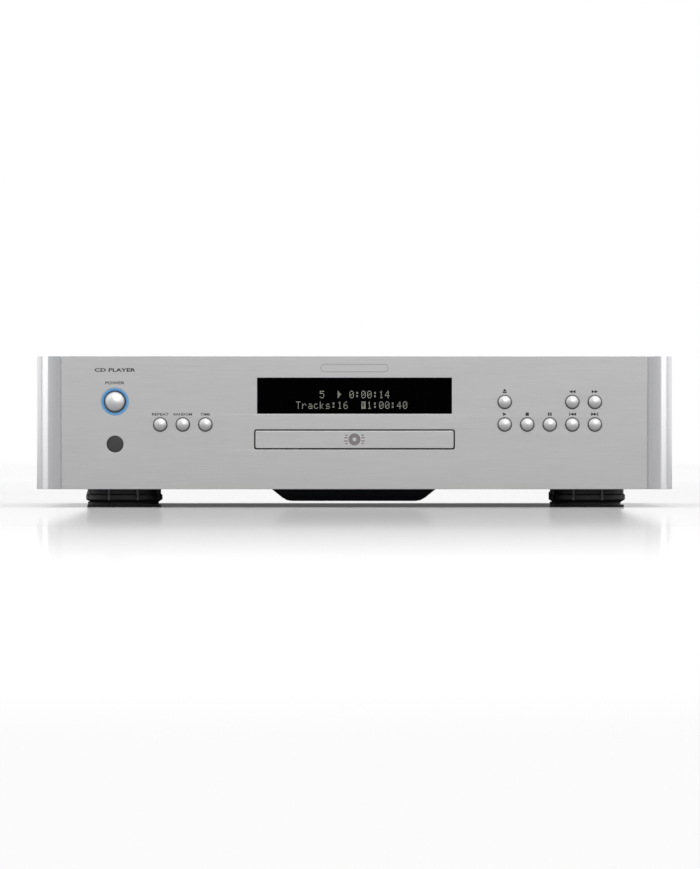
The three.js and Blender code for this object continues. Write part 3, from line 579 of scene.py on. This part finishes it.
panel_holes = [
    rectangle(0, PANE_Z, PANE[0] + 0.4, PANE[1] + 0.4, 0.4),
    rectangle(0, DOOR_Z, DOOR[0] + 1.8, DOOR[1] + 1.8, 1.8),
    ring(*POWER, 9.35, 96),
    ring(*SENSOR, 5.7, 64),
    *[ring(x, z, 4.78, 56) for x, z in BUTTONS.values()],
]
face = plate([rectangle(0, 57.1, 394.8, 89.8), *panel_holes], FRONT, -147, 0.2)
outfit(place("front_plate", face), "player", "brushed_panel", stands_for="front_panel")


def cap_outline(side):
    """The end cap's section: front round to side in one sweep, with a fine groove, tongue and tail."""
    cx, cy, rx, ry = 198.3, -133.0, 16.7, 19.2
    groove, half, depth = 0.67, 0.022, 0.55

    def at(angle, inset=0.0):
        return cx + (rx - inset) * math.cos(angle), cy - (ry - inset) * math.sin(angle)

    upper = [math.pi / 2 + (groove + half - math.pi / 2) * k / 22 for k in range(23)]
    lower = [groove - half - (groove - half) * k / 20 for k in range(21)]
    tongue, inside, back = 192, 211.4, -140.6
    points = [(tongue, -146.6), (cx, -146.6), *map(at, upper)]
    points += [at(groove + half, depth), at(groove - half, depth), *map(at, lower)]
    points += [(cx + rx, -122), (inside, -122), (inside, back), (tongue, back)]
    return [(side * x, y) for x, y in points]


for side, word in ((-1, "left"), (1, "right")):
    cap = plate([cap_outline(side)], 12.2, 102, 0.22, axis="z")
    outfit(place(f"cap_{word}", cap), "player", "satin_cap", stands_for=f"end_cap_{word}", sharp=24)

# -------------------- display
pane = plate([rectangle(0, PANE_Z, *PANE, 0.6)], PANE_FRONT, BEHIND, 0.3, steps=2)
outfit(place("display_pane", pane), "player", "display_acrylic", stands_for="display_window")

GLYPHS = {
    "0": "01110 10001 10011 10101 11001 10001 01110", "1": "00100 01100 00100 00100 00100 00100 01110",
    "4": "00010 00110 01010 10010 11111 00010 00010", "5": "11111 10000 11110 00001 00001 10001 01110",
    "6": "00110 01000 10000 11110 10001 10001 01110", ":": "00000 01100 01100 00000 01100 01100 00000",
    "T": "11111 00100 00100 00100 00100 00100 00100", "r": "00000 00000 10110 11001 10000 10000 10000",
    "a": "00000 00000 01110 00001 01111 10001 01111", "c": "00000 00000 01110 10000 10000 10001 01110",
    "k": "10000 10000 10010 10100 11000 10100 10010", "s": "00000 00000 01110 10000 01110 00001 11110",
    ">": "10000 11000 11100 11110 11100 11000 10000", "#": "11111 10111 11011 10111 11011 11111 11111",
}
CELL = (4.0, 3.0, 5.1)  # pitch, character width and height
DOT = (0.38, 0.46)  # a dot's width and height
rows = (("    5  > 0:00:14", 78.5), ("Tracks:16  #1:00:40", 71.3))
dots = []
for text, top in rows:
    for column, letter in enumerate(text):
        if letter == " ":
            continue
        left = -39.3 + column * CELL[0]
        for j, line in enumerate(GLYPHS[letter].split()):
            for i, lit in enumerate(line):
                if lit == "1":
                    u, v = left + i * CELL[1] / 5, top - j * CELL[2] / 7
                    dots.append(rectangle(u + DOT[0] / 2, v - DOT[1] / 2, *DOT))
glowing = sign(dots, surface=PANE_FRONT - 0.04, depth=0.03)
joined("display_dots", [glowing], "player", "display_acrylic", dot_light.material)

# -------------------- tray door and its emblem
DOOR_FRONT = FRONT - 0.4
door = plate([rectangle(0, DOOR_Z, *DOOR, 1.2)], DOOR_FRONT, BEHIND, 0.3, steps=2)
outfit(place("door_plate", door), "tray", "brushed_panel", stands_for="tray_door")
emblem = band(ring(0, 45.8, 4.05), ring(0, 45.8, 1.35))
for way in (-1, 1):
    for v, wide in ((48.6, 1.6), (46.9, 2.3), (44.7, 2.3), (43.0, 1.6)):
        emblem.append(rectangle(way * (4.6 + wide / 2), v, wide, 0.8))
joined("door_emblem", [sign(emblem, surface=DOOR_FRONT)], "tray", "brushed_panel", emblem_ink)

# -------------------- buttons, light ring and sensor


def button_profile(radius, proud, flange):
    """A gently crowned face, a rounded shoulder and a straight side, then the parts behind the panel."""
    tip = FRONT - proud
    steepest, face = 0.6, radius * 0.88
    crown = []
    for k in range(9):
        a = steepest * k / 8
        reach = face / math.sin(steepest)
        crown.append((reach * math.sin(a), tip + reach * (1 - math.cos(a))))
    deep = crown[-1][1]
    angles = (0.55, 0.95, 1.25, 1.5)
    shoulder = [(face + (radius - face) * math.sin(t), deep + 1.3 * (1 - math.cos(t))) for t in angles]
    body = [(radius, -146.4, 0.2), (flange, -146.4, 0.3), (flange, -145.4, 0.3), (2, -145.4, 0.3)]
    rest = soften([shoulder[-1], *body, (2, -140.8, 0.3), (0, -140.8)], 0.3, closed=False)
    return [(0, tip), *crown[1:], *shoulder, *rest[1:]]


for name, (x, z) in BUTTONS.items():
    cap = place(f"push_{name}", lathe(button_profile(4.5, 3.0, 5.6), sides=72), (x, 0, z))
    outfit(cap, f"button_{name}", "button_metal", stands_for=f"button_{name}")
    # A black ring round each button's hole: painted shade, a dark part standing for the shaded gap between
    # button and panel.
    rim = [(4.56, -153.04), (4.9, -153.04), (4.76, -152.7), (4.76, -148.0), (4.56, -148.0)]
    outfit(place(f"shade_collar_{name}", lathe(soften(rim, 0.05)), (x, 0, z)), "player", "black_plastic")
power = place("push_power", lathe(button_profile(6.9, 4.0, 8.8), sides=96), (POWER[0], 0, POWER[1]))
outfit(power, "button_power", "button_metal", power_metal, stands_for="button_power")

section = [(LIGHT[r], y) for r, y in (("bore", -153.3), ("rim", -153.3), ("rim", -146.8), ("bore", -146.8))]
glow = lathe(soften(section, 0.35), sides=96)
glow = place("light_ring", glow, (POWER[0], 0, POWER[1]))
outfit(glow, "player", "blue_light", stands_for="power_light_ring")
side = soften([(5.2, -152.6), (5.6, -152.3), (5.6, -148), (0, -148)], 0.2, False)
lens = lathe([(0, -152.8), (3.0, -152.78), (4.6, -152.7), *side], sides=80)
lens = place("sensor_pane", lens, (SENSOR[0], 0, SENSOR[1]))
outfit(lens, "player", "sensor_acrylic", stands_for="remote_sensor_window")

# -------------------- words and signs on the front
WORDS_Z, ICONS_Z, UPPER_ICONS_Z = 62.7, 62.8, 78.0
labels = [lettering("CD PLAYER", -161.5, 92.6, 2.4, 27.5, bold=0.03)]
labels.append(lettering("POWER", POWER[0], 83.9, 2.0, 13.0))
for word, width in (("repeat", 11.2), ("random", 12.4), ("time", 6.6)):
    labels.append(lettering(word.upper(), BUTTONS[word][0], WORDS_Z, 1.7, width))
joined("front_words", labels, "player", "brushed_panel", front_ink)


def arrow(u, v, size, way=1):
    back = u - way * size / 2
    return [(back, v - size / 2), (u + way * size / 2, v), (back, v + size / 2)][::way]


def transport(u, v, way, bar=False):
    """Two arrows, and for a track skip an upright bar ahead of them."""
    signs = [arrow(u + way * shift, v, 2.2, way) for shift in ((-1.4, 0.4) if bar else (-1.05, 1.05))]
    return [*signs, rectangle(u + way * 1.85, v, 0.6, 2.2)] if bar else signs


play, stop, pause, back, forward = [BUTTONS[name][0] for name in ROW]
icons = [
    [(play - 1.35, 78.1), (play + 1.35, 78.1), (play, 80.1)],
    rectangle(play, 77.375, 2.7, 0.75),
    *transport(back, UPPER_ICONS_Z, -1), *transport(forward, UPPER_ICONS_Z, 1),
    arrow(play, ICONS_Z, 2.4),
    rectangle(stop, ICONS_Z, 2.2, 2.2),
    rectangle(pause - 0.75, ICONS_Z, 1.0, 2.3), rectangle(pause + 0.75, ICONS_Z, 1.0, 2.3),
    *transport(back, ICONS_Z, -1, bar=True), *transport(forward, ICONS_Z, 1, bar=True),
]
joined("front_icons", [sign(icons)], "player", "brushed_panel", front_ink)

# A plain shallow pill outline above the window, and nothing in it.
PILL = {"width": 46.0, "height": 5.6, "line": 0.65, "z": 93.9}


def pill(width, height):
    r, steps = height / 2, 14
    angles = [-math.pi / 2 + math.pi * k / steps for k in range(steps + 1)]
    right = [(width / 2 - r + r * math.cos(angle), r * math.sin(angle)) for angle in angles]
    return [(u, v + PILL["z"]) for u, v in right] + [(-u, -v + PILL["z"]) for u, v in right]


outer = pill(PILL["width"], PILL["height"])
inner = pill(PILL["width"] - 2 * PILL["line"], PILL["height"] - 2 * PILL["line"])
joined("panel_badge", [sign(band(outer, inner), depth=0.03)], "player", "brushed_panel", engraved)

# -------------------- feet
CORNERS = ("front_left", "front_right", "rear_left", "rear_right")
FEET = {name: middle(f"foot_{name}")[:2] for name in CORNERS}


def notched(angle, radius, height):
    """Eight shallow upright notches in a foot's rim."""
    if radius < 24 or height > 12.9:
        return radius
    turn = (math.degrees(angle) - 22.5) % 45
    near = min(turn, 45 - turn)
    return radius - 0.7 * max(0.0, 1 - (near / 2.4) ** 2)


foot_section = [(0, 1.8), (22.7, 1.8), (22.7, 3.0), (25, 4.4), (26, 5.0)]
foot_section += [(26, 8.2), (25, 8.8), (25, 13.2), (0, 13.2)]
foot_profile = soften(foot_section, 0.4, closed=False)
for name, (x, y) in FEET.items():
    foot = place(f"stand_{name}", lathe(foot_profile, "z", 240, notched), (x, y, 0))
    outfit(foot, "player", "black_plastic", stands_for=f"foot_{name}")
    # Raised ribs in the notches, coloured grey: painted highlight on the black foot.
    grips = []
    for k in range(8):
        grip = cube((24.3, -0.75, 4.6), (25.55, 0.75, 12.9), 0.35)
        grip.transform(Matrix.Rotation(math.radians(22.5 + 45 * k), 4, "Z"))
        grips.append(grip)
    joined(f"grip_{name}", grips, "player", "black_plastic", grip_highlight_gray, at=(x, y, 0))
    pad_profile = soften([(0, 0), (25.2, 0), (25.2, 1.5), (0, 1.5)], 0.4, closed=False)
    pad = place(f"pad_{name}", lathe(pad_profile, "z", 96), (x, y, 0))
    outfit(pad, "player", "pad_felt", stands_for=f"foot_pad_{name}")


def screw_head(radius, height, axis, way):
    """A pan head with a cross recess, standing off a face that looks along +x, -x or +y."""
    dome = [(radius, 0), (radius, height * 0.35), (radius * 0.86, height * 0.8)]
    dome += [(radius * 0.5, height), (0, height)]
    head = lathe([(0, 0), *soften(dome, height * 0.2, closed=False)], "z", 32)
    tools = []
    for quarter in (0, 1):
        a, b = (radius * 0.62, radius * 0.15) if quarter else (radius * 0.15, radius * 0.62)
        tools.append(cube((-a, -b, height * 0.45), (a, b, height + 1), radius * 0.04, 1))
    mesh = carved("head", head, tools, radius * 0.03)
    mesh.transform(ALONG[axis])
    if axis == "y" or way < 0:
        mesh.transform(Matrix.Rotation(math.pi, 4, "X" if axis == "y" else "Z"))
    return mesh


LID_SCREWS = ((-96, 26), (20, 26), (122, 26))
REAR_SCREWS = ((-198, 90), (0, 93), (198, 90), (-198, 24), (198, 24), (-60, 24), (70, 24))
rear_head = screw_head(2.7, 1.5, "y", 1)
for side, word in ((-1, "left"), (1, "right")):
    for k, (y, z) in enumerate(LID_SCREWS):
        head = place(f"lid_screw_{word}_{k}", screw_head(3.3, 1.8, "x", side), (side * 211.0, y, z))
        outfit(head, "player", "black_steel")
for k, (x, z) in enumerate(REAR_SCREWS):
    outfit(place(f"rear_screw_{k}", rear_head.copy(), (x, REAR, z)), "player", "black_steel")

# -------------------- rear panel and its sockets
INLET = (-168, 45)
BALANCED = {"left": (158, 64), "right": (122, 64)}
JACKS = {"left": (84, 73), "right": (84, 55), "digital": (48, 55)}
rear_holes = [rectangle(*INLET, 27.8, 20.4, 1.0), *[ring(*at, 12.0, 64) for at in BALANCED.values()]]
rear_holes += [ring(*at, 5.6) for at in JACKS.values()]
rear = plate([rectangle(0, 56, 418, 84.8), *rear_holes], 144.8, REAR, 0.15)
outfit(place("rear_plate", rear), "player", "black_steel", stands_for="rear_panel")

MOUTH = [(-12.25, -8.3), (12.25, -8.3), (12.25, 3.7), (7.65, 8.3), (-7.65, 8.3), (-12.25, 3.7)]
inlet_at = (INLET[0], 0, INLET[1])
flange = plate([rectangle(0, 0, 48, 27, 3)], 146.4, 149, 0.4, steps=2)
flange = carved("inlet", flange, [plate([MOUTH], 140, 152, 0.05)], 0.15)
well = plate([rectangle(0, 0, 27, 19.6, 1)], 124, 146.9, 0.3)
well = carved("inlet", well, [plate([MOUTH], 133, 152, 0.05)], 0.15)
joined("inlet_body", [flange, well], "player", "black_plastic", stands_for="mains_inlet", at=inlet_at)
blades = [cube((x - 1, 132.5, z - 2), (x + 1, 143.5, z + 2), 0.35) for x, z in ((-7, -2), (0, 2), (7, -2))]
joined("inlet_pins", blades, "player", "bright_steel", at=inlet_at)
for k, x in enumerate((-188, -148)):
    outfit(place(f"inlet_screw_{k}", rear_head.copy(), (x, 148.6, INLET[1])), "player", "bright_steel")

COLLAR = [(8.4, 146.6), (11.5, 146.6), (11.5, 149.6), (8.4, 149.6)]
CUP = [(0, 134.8), (8.2, 134.8, 0.3), (8.2, 149.2), (8.4, 149.2), (8.4, 128), (0, 128)]
PIN = [(0, 144.5), (0.6, 144.3), (1.05, 143.8), (1.25, 143.0), (1.25, 134.6), (0, 134.6)]
PIN_CIRCLE = 4.2
for name, (x, z) in BALANCED.items():
    at = (x, 0, z)
    flange = plate([rectangle(0, 0, 26, 31, 3), ring(0, 0, 8.6, 64)], 146.4, 148.4, 0.35, steps=2)
    shell = [flange, lathe(soften(COLLAR, 0.35), sides=80)]
    stands = f"balanced_output_{name}"
    joined(f"balanced_shell_{name}", shell, "player", "zinc_steel", stands_for=stands, at=at)
    insert = [lathe(soften(CUP, 0.1, closed=False), sides=80), cube((-1.3, 135, 6.4), (1.3, 148.8, 8.3), 0.3)]
    joined(f"balanced_insert_{name}", insert, "player", "black_plastic", at=at)
    pins = []
    for turn in (-0.9, 0, 0.9):
        down = turn - math.pi / 2
        pins.append(moved(lathe(PIN, sides=24), PIN_CIRCLE * math.cos(down), 0, PIN_CIRCLE * math.sin(down)))
    joined(f"balanced_pins_{name}", pins, "player", "bright_steel", gold, at=at)
    for k, (u, v) in enumerate(((-9.6, 12.2), (9.6, -12.2))):
        screw = place(f"balanced_screw_{name}_{k}", rear_head.copy(), (x + u, 148.2, z + v))
        outfit(screw, "player", "bright_steel")

SLEEVE = [(3.1, 147.0), (3.1, 156.6), (3.4, 157.0), (3.9, 157.0), (4.15, 156.7), (4.15, 146.0), (3.1, 146.0)]
CORE = [(1.6, 150.0), (1.6, 156.4), (3.1, 156.4), (3.1, 148.0), (1.6, 148.0)]
for name, barrel_slot, core_slot, ink, stands in (
    ("left", "bright_steel", "white_plastic", white_insulator, "analogue_output_jacks"),
    ("right", "bright_steel", "white_plastic", red_insulator, ()),
    ("digital", "digital_jack", "digital_jack", None, "digital_output_jack"),
):
    at = (JACKS[name][0], 0, JACKS[name][1])
    barrel = lathe(soften(SLEEVE, 0.1), sides=48)
    nut = plate([ring(0, 0, 5.2, 6), ring(0, 0, 4.2)], 146.05, 147.4, 0.2)
    joined(f"jack_{name}", [barrel, nut], "player", barrel_slot, gold, stands, at=at)
    core = lathe(soften(CORE, 0.1), sides=48)
    joined(f"jack_insulator_{name}", [core], "player", core_slot, ink, at=at)
housings = [cube((78, 130, 48), (90, 144.4, 80), 0.6), cube((42, 130, 48), (54, 144.4, 62), 0.6)]
joined("jack_housing", housings, "player", "black_plastic")

REAR_WORDS = (
    ("ANALOG OUT", 84, 84.5, 2.2), ("L", 93, 73, 2.0), ("R", 93, 55, 2.0), ("DIGITAL OUT", 48, 64.5, 2.2),
    ("BALANCED OUT", 140, 84.5, 2.2), ("LEFT", 158, 46, 1.9), ("RIGHT", 122, 46, 1.9),
    ("MAINS", -168, 62.5, 2.2),
)
words = [lettering(text, x, z, height, facing=1, surface=REAR) for text, x, z, height in REAR_WORDS]
joined("rear_words", words, "player", "black_steel", rear_ink)

# -------------------- the tray and its rack
disc_tray = plate([rectangle(0, -56.5, 130, 185, 2)], 41, 48, 0.4, axis="z", steps=2)
DISC_Y = -79  # the disc's centre on the closed tray
cuts = (
    (ring(0, DISC_Y, 60.5, 160), 43), (ring(0, DISC_Y, 40.5, 128), 42),
    (ring(0, DISC_Y, 25, 96), 38), (rectangle(0, -18, 50, 122), 38),
)
tools = [plate([cut], low, 52, 0.01, axis="z") for cut, low in cuts]
tools += [cube((s * 41.5 - 12.5, -10, 30), (s * 41.5 + 12.5, 33, 46), 0.4) for s in (-1, 1)]


def rack_outline(front, rear):
    """The rack under the tray. Its straight-sided teeth point to +x, in step with the loading pinion."""
    module, line, gear_y = 1.2, -57.0, -124.0
    pitch = math.pi * module
    tip, root, back = line + 0.8 * module, line - module, -60.6
    at_tip = pitch / 4 - 0.8 * module * math.tan(0.35) - 0.12
    at_root = pitch / 4 + module * math.tan(0.35) - 0.12
    points = [(back, front), (root, front)]
    first, last = (front + at_root - gear_y) / pitch, (rear - at_root - gear_y) / pitch
    for tooth in range(math.ceil(first), math.floor(last) + 1):
        y = gear_y + tooth * pitch
        points += [(root, y - at_root), (tip, y - at_tip), (tip, y + at_tip), (root, y + at_root)]
    return points + [(root, rear), (back, rear)]


rack = plate([rack_outline(-136, 33)], 39, 41.3, 0.08, axis="z")
disc_tray = carved("tray", disc_tray, tools, 0.35)
joined("loading_tray", [disc_tray, rack], "tray", "black_plastic", stands_for="disc_tray")

# -------------------- main board, transformer and capacitor
BOARD = {"low": 21.0, "top": 22.6}
STANDOFFS = [(-54, 68), (-54, 130), (60, 130), (188, 130), (188, -92), (100, -92), (188, 20)]
edges = [(-62, 60), (92, 60), (92, -100), (196, -100), (196, 138), (-62, 138)]
bores = [ring(x, y, 1.6, 24) for x, y in STANDOFFS]
board = plate([edges, *bores], BOARD["low"], BOARD["top"], 0.08, axis="z")
outfit(place("board_plate", board), "player", "circuit_board", stands_for="main_board")


def upended(profile, x, y, sides=32):
    """A turned piece that stands on the board at (x, y)."""
    return moved(lathe([(r, BOARD["top"] + h) for r, h in profile], "z", sides), x, y)


def lying(x, y, width, length, height, edge=0.2):
    """A block that stands on the board at (x, y)."""
    top = BOARD["top"]
    return cube((x - width / 2, y - length / 2, top), (x + width / 2, y + length / 2, top + height), edge)


posts = [upended([(0, -7.2), (3, -7.2), (3, -1.7), (2.9, -1.65), (0, -1.65)], x, y, 6) for x, y in STANDOFFS]
posts += [upended([(0, 0.05), (2.8, 0.05), (2.8, 1.0), (2.0, 1.8), (0, 1.9)], x, y) for x, y in STANDOFFS]
joined("board_screws", posts, "player", "bright_steel")

CHIPS = ((30, 90, 20, 20), (58, 88, 12, 8), (124, -28, 24, 24))  # place, width and length
chips, legs = [], []
for x, y, width, length in CHIPS:
    chips.append(moved(lying(x, y, width - 2.4, length - 2.4, 2.5, 0.25), z=0.3))
    for along, across, swap in ((width, length, False), (length, width, True)):
        for k in range(along - 3):
            for way in (-1, 1):
                u, v = k - (along - 4) / 2, way * (across / 2 - 0.75)
                at, size = ((v, u), (1.5, 0.45)) if swap else ((u, v), (0.45, 1.5))
                legs.append(lying(x + at[0], y + at[1], *size, 0.9, 0.08))
joined("board_chips", chips, "player", "black_plastic")
joined("chip_legs", legs, "player", "bright_steel")

relays = [lying(127, 77, 14, 14, 13.4, 0.6), lying(153, 77, 14, 14, 13.4, 0.6)]
joined("board_relays", relays, "player", "deck_plastic")
header = [lying(127.5, 16, 45, 12, 8.4, 0.5)]
header += [lying(109 + 3.96 * k, 14.4, 2.6, 3.4, 8.6, 0.2) for k in range(10)]
joined("board_header", header, "player", "white_plastic")

CAN = [(0, 0), (3.9, 0), (3.9, 1.2), (3.6, 1.6), (3.9, 2.0), (3.9, 10.6), (3.5, 11.2), (3.2, 11.0), (0, 11.0)]
cans = [upended(CAN, 110 + 12.5 * k, y) for y in (98, 112) for k in range(6)]
cans += [upended(CAN, -8 + 11 * k, 122) for k in range(6)]
cans += [upended(CAN, 178, -76 + 13 * k) for k in range(5)]
joined("board_cans", cans, "player", "capacitor_sleeve")
film_places = [(104 + 11 * k, 44) for k in range(7)] + [(-10 + 10 * k, 70) for k in range(3)]
films = [lying(x, y, 7.2, 3.2, 7.0, 0.5) for x, y in film_places]
joined("board_films", films, "player", "white_plastic", red_insulator)
CHIP_ROWS = ((10, 106, 16), (106, -50, 16), (106, 56, 20), (72, 66, 6), (104, -84, 12))  # place and count
small = []
for x, y, count in CHIP_ROWS:
    small += [lying(x + 2.6 * k, y + 3.2 * j, 1.1, 2.0, 0.6, 0.08) for k in range(count) for j in (0, 1)]
joined("board_resistors", small, "player", "deck_plastic")

TOROID = {"inner": 14, "outer": 47, "low": 16.5, "high": 56, "round": 9}
around = (("outer", "low"), ("outer", "high"), ("inner", "high"), ("inner", "low"))
outline = [(TOROID[radius], TOROID[height]) for radius, height in around]


def wrapped(angle, radius, height):
    """The tape's turns: shallow furrows, which never pass the toroid's own size."""
    return radius - 0.35 * abs(math.cos(angle * WRAPS / 2)) ** 6


toroid = lathe(soften(outline, TOROID["round"], steps=7), "z", WRAPS * 8, wrapped)
outfit(place("toroid", toroid, (-138, 6, 0)), "player", "winding_tape", stands_for="transformer", sharp=60)
waist = [(11, 53.6), (10.5, 54.2), (11, 54.8)]
sleeve = [(0, 23), (11, 23, 0.3), *waist, (11, 57.6, 0.6), (9.6, 58), (9.3, 57.5), (0, 57.5)]
can = lathe(soften(sleeve, 0.2, closed=False), "z", 96)
outfit(place("power_can", can, (-34, 96, 0)), "player", "capacitor_sleeve", stands_for="reservoir_capacitor")

# -------------------- CAD nodes that stay: finish, eased edges


def smoother(angle):
    """A node group that shades smooth all but the edges over an angle, and leaves the mesh's shape alone."""
    group = bpy.data.node_groups.new("smooth_shading", "GeometryNodeTree")
    for way in ("INPUT", "OUTPUT"):
        group.interface.new_socket("Geometry", in_out=way, socket_type="NodeSocketGeometry")
    bend = add_node(group, "GeometryNodeInputMeshEdgeAngle").outputs["Unsigned Angle"]
    sharp = add_node(group, "FunctionNodeCompare", data_type="FLOAT", operation="GREATER_THAN")
    group.links.new(bend, sharp.inputs[0])
    sharp.inputs[1].default_value = angle
    shape = add_node(group, "NodeGroupInput").outputs[0]
    faces = {"Geometry": shape, "Shade Smooth": True}
    shape = add_node(group, "GeometryNodeSetShadeSmooth", faces, domain="FACE").outputs[0]
    edges = {"Geometry": shape, "Selection": sharp.outputs[0], "Shade Smooth": False}
    shape = add_node(group, "GeometryNodeSetShadeSmooth", edges, domain="EDGE").outputs[0]
    add_node(group, "NodeGroupOutput", {0: shape})
    return group


SMOOTH = smoother(math.radians(32))
replaced = {name for obj in bpy.data.objects if "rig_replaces" in obj for name in obj["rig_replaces"]}
slot_of = {row["node"]: row["material_slot"] for row in frame["record"]["subparts"]}
EASE = {"top_cover": 0.5, "chassis_base": 0.35, "clamp_bridge": 0.3, "front_bracket": 0.25}
for name, node in frame["nodes"].items():
    node.data.materials.clear()
    node.data.materials.append(FINISHES[slot_of[name]])
    if name in replaced:
        continue
    weld = node.modifiers.new("weld", "WELD")
    weld.merge_threshold = 1e-6
    ease = node.modifiers.new("ease", "BEVEL")
    ease.width, ease.segments, ease.limit_method = EASE.get(name, 0.25) * MM, 2, "ANGLE"
    ease.angle_limit, ease.use_clamp_overlap = math.radians(35), True
    node.modifiers.new("smooth", "NODES").node_group = SMOOTH
    even = node.modifiers.new("even", "WEIGHTED_NORMAL")
    even.keep_sharp = True

# -------------------- floor, light and camera
SUN_ENERGY = 1.5
POLISH = 0.58
# Place from the camera's side, 0, to the backdrop, 1, and the brightness there.
STUDIO = ((0.0, 0.5), (0.08, 0.55), (0.28, 0.66), (0.335, 0.62), (0.36, 1.52), (0.57, 1.52), (0.66, 0.98))
ABOVE = ((-0.5, 0.68), (0.6, 1.25))  # (height of the direction, share of that brightness)
ground = bmesh.new()
bmesh.ops.create_circle(ground, cap_ends=True, segments=96, radius=7000)
floor = place("floor", as_mesh(ground))
pale = bpy.data.materials.new("floor")
pale.use_nodes = True
floor.data.materials.append(pale)


def floor_nodes(tree):
    """A matt white top, polished round the player, which its own reflections see darker."""
    tree.nodes.clear()
    matt = add_node(tree, "ShaderNodeBsdfDiffuse", {"Color": (0.56, 0.56, 0.56, 1)})
    dim = add_node(tree, "ShaderNodeBsdfDiffuse", {"Color": (0.21, 0.21, 0.21, 1)})
    polish = add_node(tree, "ShaderNodeBsdfGlossy", {"Color": (1, 1, 1, 1), "Roughness": 0.05})
    place = add_node(tree, "ShaderNodeTexCoord").outputs["Object"]
    away = add_node(tree, "ShaderNodeVectorMath", {0: place}, operation="LENGTH").outputs["Value"]
    inputs = {"Value": away, "From Min": 2.75, "From Max": 1.15, "To Min": 0.0, "To Max": POLISH}
    fade = add_node(tree, "ShaderNodeMapRange", inputs).outputs[0]
    facing = add_node(tree, "ShaderNodeLayerWeight").outputs["Facing"]
    inputs = {"Value": facing, "From Min": 0.8, "From Max": 0.985, "To Min": 0.06, "To Max": 1.0}
    graze = add_node(tree, "ShaderNodeMapRange", inputs).outputs[0]
    mirror = add_node(tree, "ShaderNodeMath", {0: fade, 1: graze}, operation="MULTIPLY").outputs[0]
    top = add_node(tree, "ShaderNodeMixShader", {0: mirror, 1: matt.outputs[0], 2: polish.outputs[0]})
    direct = add_node(tree, "ShaderNodeLightPath").outputs["Is Camera Ray"]
    whole = add_node(tree, "ShaderNodeMixShader", {0: direct, 1: dim.outputs[0], 2: top.outputs[0]})
    add_node(tree, "ShaderNodeOutputMaterial", {0: whole.outputs[0]})


floor_nodes(pale.node_tree)

# A low dark card under the player's rear edge, which the camera can't see. It darkens what the floor mirrors:
# painted shade, a dark sheet standing for the shade in the floor's reflection under the player.
SHADE_CARD = {"foot": 177, "head": 207, "height": 12.8, "y": 140}  # foot and head are half widths
foot, head, height = SHADE_CARD["foot"], SHADE_CARD["head"], SHADE_CARD["height"]
corners = [(-foot, 0), (foot, 0), (head, height), (-head, height)]
shade_card = place("shade_card", plate([corners], SHADE_CARD["y"], SHADE_CARD["y"] + 2, 0.3))
shade_card_gray = bpy.data.materials.new("shade_card")
shade_card_gray.use_nodes = True
shade_card_face = shade_card_gray.node_tree.nodes["Principled BSDF"].inputs
shade_card_face["Base Color"].default_value = (0.02, 0.02, 0.02, 1)
# A faint painted glow, which sets how grey the mirrored shade is.
shade_card_face["Emission Color"].default_value = (1, 1, 1, 1)
shade_card_face["Emission Strength"].default_value = 0.17
shade_card.data.materials.append(shade_card_gray)
shade_card.visible_camera = shade_card.visible_diffuse = shade_card.visible_shadow = False


def lamp(name, at, towards, size, radiance):
    """A soft box of the given size in metres, whose face has the given brightness."""
    data = bpy.data.lights.new(name, "AREA")
    data.shape, data.size, data.size_y = "RECTANGLE", *size
    data.energy = radiance * math.pi * size[0] * size[1]
    obj = bpy.data.objects.new(name, data)
    obj.location = at
    obj.rotation_euler = (Vector(towards) - Vector(at)).to_track_quat("-Z", "Y").to_euler()
    bpy.context.scene.collection.objects.link(obj)


lamp("key", (0.7, -2.9, 1.55), (0, 0, 0.05), (2.2, 1.5), 1.95)
sky = bpy.data.lights.new("sky", "SUN")
sky.energy, sky.angle = SUN_ENERGY, math.radians(50)
sun = bpy.data.objects.new("sky", sky)
sun.rotation_euler = (math.radians(-20), 0, 0)
bpy.context.scene.collection.objects.link(sun)

# The studio: dimmer behind the camera, bright strips beside the player and a bright backdrop.
world = bpy.data.worlds.new("studio")
bpy.context.scene.world = world
world.use_nodes = True
tree = world.node_tree
tree.nodes.clear()
toward = add_node(tree, "ShaderNodeTexCoord").outputs["Generated"]
parts = add_node(tree, "ShaderNodeSeparateXYZ", {0: toward}).outputs
share = add_node(tree, "ShaderNodeMapRange", {"Value": parts["Y"], "From Min": -1, "From Max": 1})
ramp = add_node(tree, "ShaderNodeValToRGB", {0: share.outputs[0]})
while len(ramp.color_ramp.elements) < len(STUDIO):
    ramp.color_ramp.elements.new(0.5)
for element, (where, level) in zip(ramp.color_ramp.elements, STUDIO):
    element.position = where
    element.color = (level, level, level, 1)
(low, least), (high, most) = ABOVE
inputs = {"Value": parts["Z"], "From Min": low, "To Min": least, "From Max": high, "To Max": most}
lift = add_node(tree, "ShaderNodeMapRange", inputs)
light = add_node(tree, "ShaderNodeBackground", {"Color": ramp.outputs[0], "Strength": lift.outputs[0]})
seen = add_node(tree, "ShaderNodeBackground", {"Color": (1, 1, 1, 1)})
direct = add_node(tree, "ShaderNodeLightPath").outputs["Is Camera Ray"]
blend = add_node(tree, "ShaderNodeMixShader", {0: direct, 1: light.outputs[0], 2: seen.outputs[0]})
add_node(tree, "ShaderNodeOutputWorld", {0: blend.outputs[0]})

camera = bpy.data.objects.new("camera", bpy.data.cameras.new("camera"))
camera.data.lens, camera.data.sensor_width = 300, 36
camera.location = (-0.00303, -5.037, 0.0491)
camera.rotation_euler = (math.pi / 2, 0, 0)
camera.data.clip_start, camera.data.clip_end = 0.1, 100
bpy.context.scene.collection.objects.link(camera)
bpy.context.scene.camera = camera
bpy.context.scene.view_settings.view_transform = "Standard"
